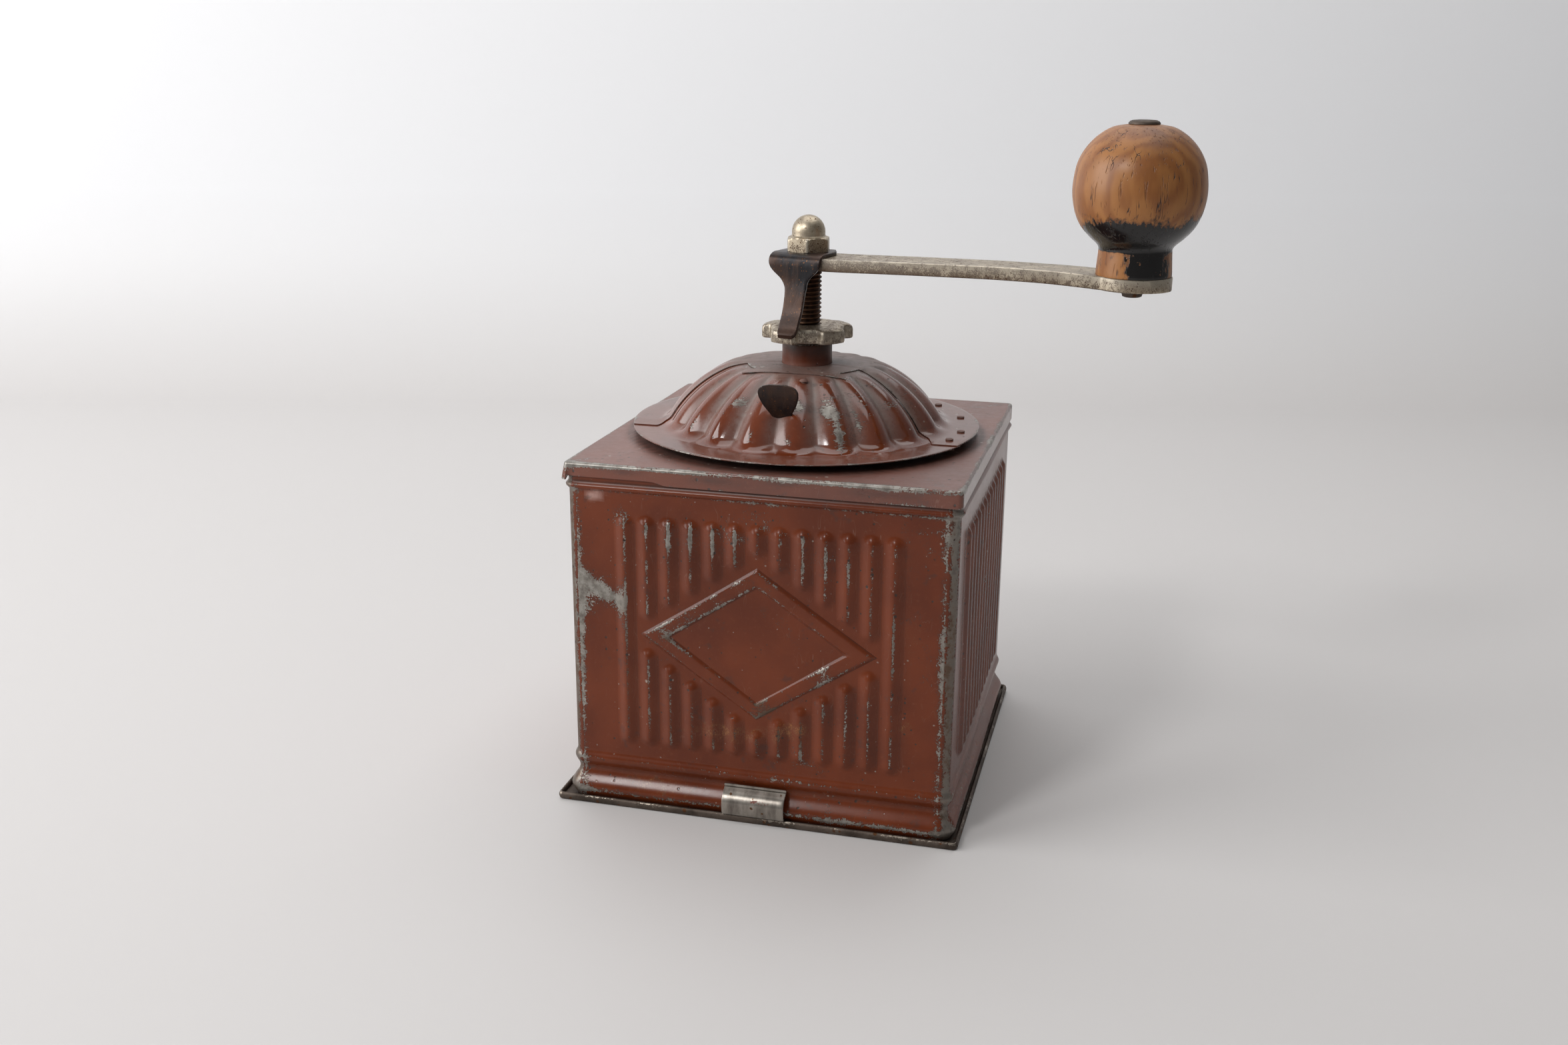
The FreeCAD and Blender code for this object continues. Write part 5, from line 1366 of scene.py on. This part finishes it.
knob_seat = 153.35
knob_bore = 2.6
knob_line = [(9.55, knob_seat), (9.75, 153.7), (9.6, 156.5), (9.4, 159.5), (9.5, 160.6), (10.3, 161.6),
             (11.9, 163.0), (13.8, 165.0), (15.2, 167.2), (16.3, 170.2), (16.95, 174.2), (16.75, 178.2),
             (15.95, 182.0), (14.1, 185.5), (11.3, 188.5), (7.9, 190.6), (4.6, 191.3)]
knob_middle = arm_reach * arm_along
lacquer_level = 167.2
neck_level = 160.6
wood_light = (0.325, 0.132, 0.034)
wood_band = (0.235, 0.083, 0.019)
wood_figure = (0.12, 0.042, 0.014)
wood_pore = (0.10, 0.03, 0.01)
wood_crack = (0.03, 0.012, 0.006)
lacquer_thin = (0.09, 0.035, 0.014)
lacquer_black = (0.007, 0.006, 0.006)


def knob_surface():
    """The ball's smooth outline turned about its axis, with a plain bore for the pin."""
    line = smooth_line(knob_line, 6)
    bore = [(knob_bore, line[-1, 1]), (knob_bore, 170.0)]
    return lathe(np.concatenate([[(knob_bore, knob_seat)], line, bore]), 128) + knob_middle


def lacquer_mask(points):
    """How much lacquer is left: most low on the ball, up to a wavy line, and on one side of the neck."""
    turn = np.arctan2(points[..., 1] - knob_middle[1], points[..., 0] - knob_middle[0])
    level = points[..., 2]
    line = lacquer_level + 1.5 * np.cos(turn + 0.5) + 0.9 * np.sin(3 * turn + 1)
    ball = np.clip(0.5 + (line - level) / 9.0, 0.0, 0.95) + 0.3 * np.clip((164 - level) / 3, 0, 1)
    neck = 0.41 + 0.5 * np.clip(2.2 * (np.cos(turn + 1.12) - 0.78), -0.2, 1)
    on_neck = np.clip((neck_level - level) / 0.9, 0, 1)
    return ball * (1 - on_neck) + neck * on_neck


def turned_wood():
    """Wood with upright pores and growth bands; lacquer stays where its mask is high, thin at its edge."""
    coat = Coat("turned_wood")
    moved = {"Vector": coat.place, "Location": (-knob_middle / 1000).tolist()}
    coat.place = coat.add("ShaderNodeMapping", moved).outputs[0]
    warp = coat.noise(60.0, 4.0, stretch=(1, 1, 0.3))
    beside_pith = {"Vector": coat.place, "Location": (0.006, -0.040, 0.0), "Scale": (1, 1, 0.12)}
    pith = coat.add("ShaderNodeMapping", beside_pith).outputs[0]
    radius = coat.add("ShaderNodeVectorMath", {0: pith}, operation="LENGTH").outputs["Value"]
    radius = coat.plus(radius, coat.times(warp, 0.016))
    rings = coat.times(coat.maths("SINE", coat.times(radius, 2000.0)), 0.5)
    rings = coat.maths("POWER", coat.plus(rings, 0.5), 1.6)
    coat.colour = coat.tint(rings, wood_light, wood_band)
    figure = coat.noise(75.0, 4.0, stretch=(1, 1, 0.35))
    coat.lay(coat.step(figure, 0.5, 0.72), wood_figure, 0.6)
    pores = coat.step(coat.noise(1500.0, 3.0, stretch=(1.0, 1.0, 0.07)), 0.60, 0.70)
    coat.lay(pores, wood_pore, 0.55)
    cracks = coat.hairlines(0.012, 260.0, 3.0, (1, 1, 0.05))
    cracks = coat.times(cracks, coat.step(coat.noise(150.0, 2.0), 0.52, 0.62))
    coat.lay(cracks, wood_crack)
    held, thin = coat.worn(coat.mask("lacquer"), 150.0, 1.3, (1, 1, 0.55))
    coat.lay(thin, lacquer_thin, 0.75)
    coat.lay(held, lacquer_black)
    rough = coat.shade(held, coat.shade(figure, 0.32, 0.5), 0.16)
    height = coat.less(coat.times(held, 0.5), coat.plus(pores, cracks))
    return coat.done(height, 0.0001, Roughness=rough)


knob_points = knob_surface()
knob_lacquer = lacquer_mask(knob_points)
knob = surface("wooden_knob", knob_points, turned_wood(), "rows columns", 50, lacquer=knob_lacquer)
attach(knob, "handle")
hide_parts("knob")


# Knob pin
# A long rivet of dark steel on which the knob turns.
# It is domed above the knob and peened over below the arm's pad.

pin_line = [(0.0, 147.7), (2.0, 147.7), (2.5, 147.9), (2.7, 148.5), (2.7, 149.8), (2.5, 149.8), (2.5, 191.4),
            (4.0, 191.4), (4.0, 191.7), (3.7, 192.1), (3.0, 192.4), (1.6, 192.5), (0.0, 192.5)]
pin_points = lathe(pin_line, 48) + knob_middle
knob_pin = surface("knob_rivet", pin_points, dark_steel_finish, "columns", 45)
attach(knob_pin, "crank")
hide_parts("knob_pin")


# Studio
# A pale floor that curves up into a pale wall.
# Soft square lamps light it, and the camera stands at the photograph's place.

floor_reach = 2.4
wall_away = 0.6
cove = 0.12
wall_height = 2.0
stage_turn = np.radians(14.5)
floor_paint = (0.62, 0.60, 0.59)
wall_paint = (0.88, 0.885, 0.90)


def sweep_surface():
    """A level floor, a quarter circle and an upright wall drawn out sideways, turned to face the camera.

    Also returns a mask that goes from nought on the floor to one on the wall.
    """
    turn = np.linspace(0, np.pi / 2, 16)
    bend = np.column_stack([wall_away - cove + cove * np.sin(turn), cove * (1 - np.cos(turn))])
    line = np.concatenate([[(-floor_reach, 0.0)], bend, [(wall_away, wall_height)]])
    side = np.array([-floor_reach, floor_reach])
    x = side * np.cos(stage_turn) - line[:, :1] * np.sin(stage_turn)
    y = side * np.sin(stage_turn) + line[:, :1] * np.cos(stage_turn)
    rise = np.repeat(line[:, 1:], 2, axis=1)
    return 1000 * np.dstack([x, y, rise]), np.clip(rise / cove, 0, 1)


def pale_paint():
    """Plain pale paint, a little lighter on the wall."""
    coat = Coat("pale_paint")
    coat.colour = coat.tint(coat.mask("wall"), floor_paint, wall_paint)
    return coat.done(Roughness=0.6)


sweep_points, sweep_wall = sweep_surface()
floor = surface("studio_sweep", sweep_points, pale_paint(), wall=sweep_wall)


def lamp(name, place, target, size, power):
    """A square soft lamp that faces a target."""
    light = bpy.data.lights.new(name, "AREA")
    light.size = size
    light.energy = power
    holder = bpy.data.objects.new(name, light)
    holder.location = place
    holder.rotation_euler = (Vector(target) - Vector(place)).to_track_quat("-Z", "Y").to_euler()
    bpy.context.scene.collection.objects.link(holder)


lamp("window", (-1.15, -0.5, 0.6), (0, 0, 0.08), 0.9, 13.0)
lamp("high_window", (-0.5, -1.0, 0.95), (0, 0, 0.08), 0.25, 5.5)
lamp("wall_glow", (0.0, 0.25, 1.0), (0, 0.1, 0.1), 0.9, 4.5)

world = bpy.data.worlds.new("studio")
world.use_nodes = True
sky = world.node_tree.nodes["Background"].inputs
sky["Color"].default_value = (1, 1, 1, 1)
sky["Strength"].default_value = 0.19
bpy.context.scene.world = world

camera_place = Vector((0.10442, -0.42932, 0.20666))
camera_target = Vector((-0.0066, 0.0, 0.0715))
camera_roll = np.radians(0.47)
camera_lens = 35.0
sensor_width = 36.0
camera = bpy.data.objects.new("camera", bpy.data.cameras.new("camera"))
camera.data.lens = camera_lens
camera.data.sensor_width = sensor_width
camera.data.sensor_fit = "HORIZONTAL"
camera.data.clip_start = 0.01
ahead = (camera_target - camera_place).normalized()
right = ahead.cross(Vector((0, 0, 1))).normalized()
above = right.cross(ahead)
tilted_right = np.cos(camera_roll) * right + np.sin(camera_roll) * above
tilted_up = np.cos(camera_roll) * above - np.sin(camera_roll) * right
camera.matrix_world = Matrix((tilted_right, tilted_up, -ahead)).transposed().to_4x4()
camera.location = camera_place
bpy.context.scene.collection.objects.link(camera)
bpy.context.scene.camera = camera
bpy.context.scene.view_settings.view_transform = "Standard"
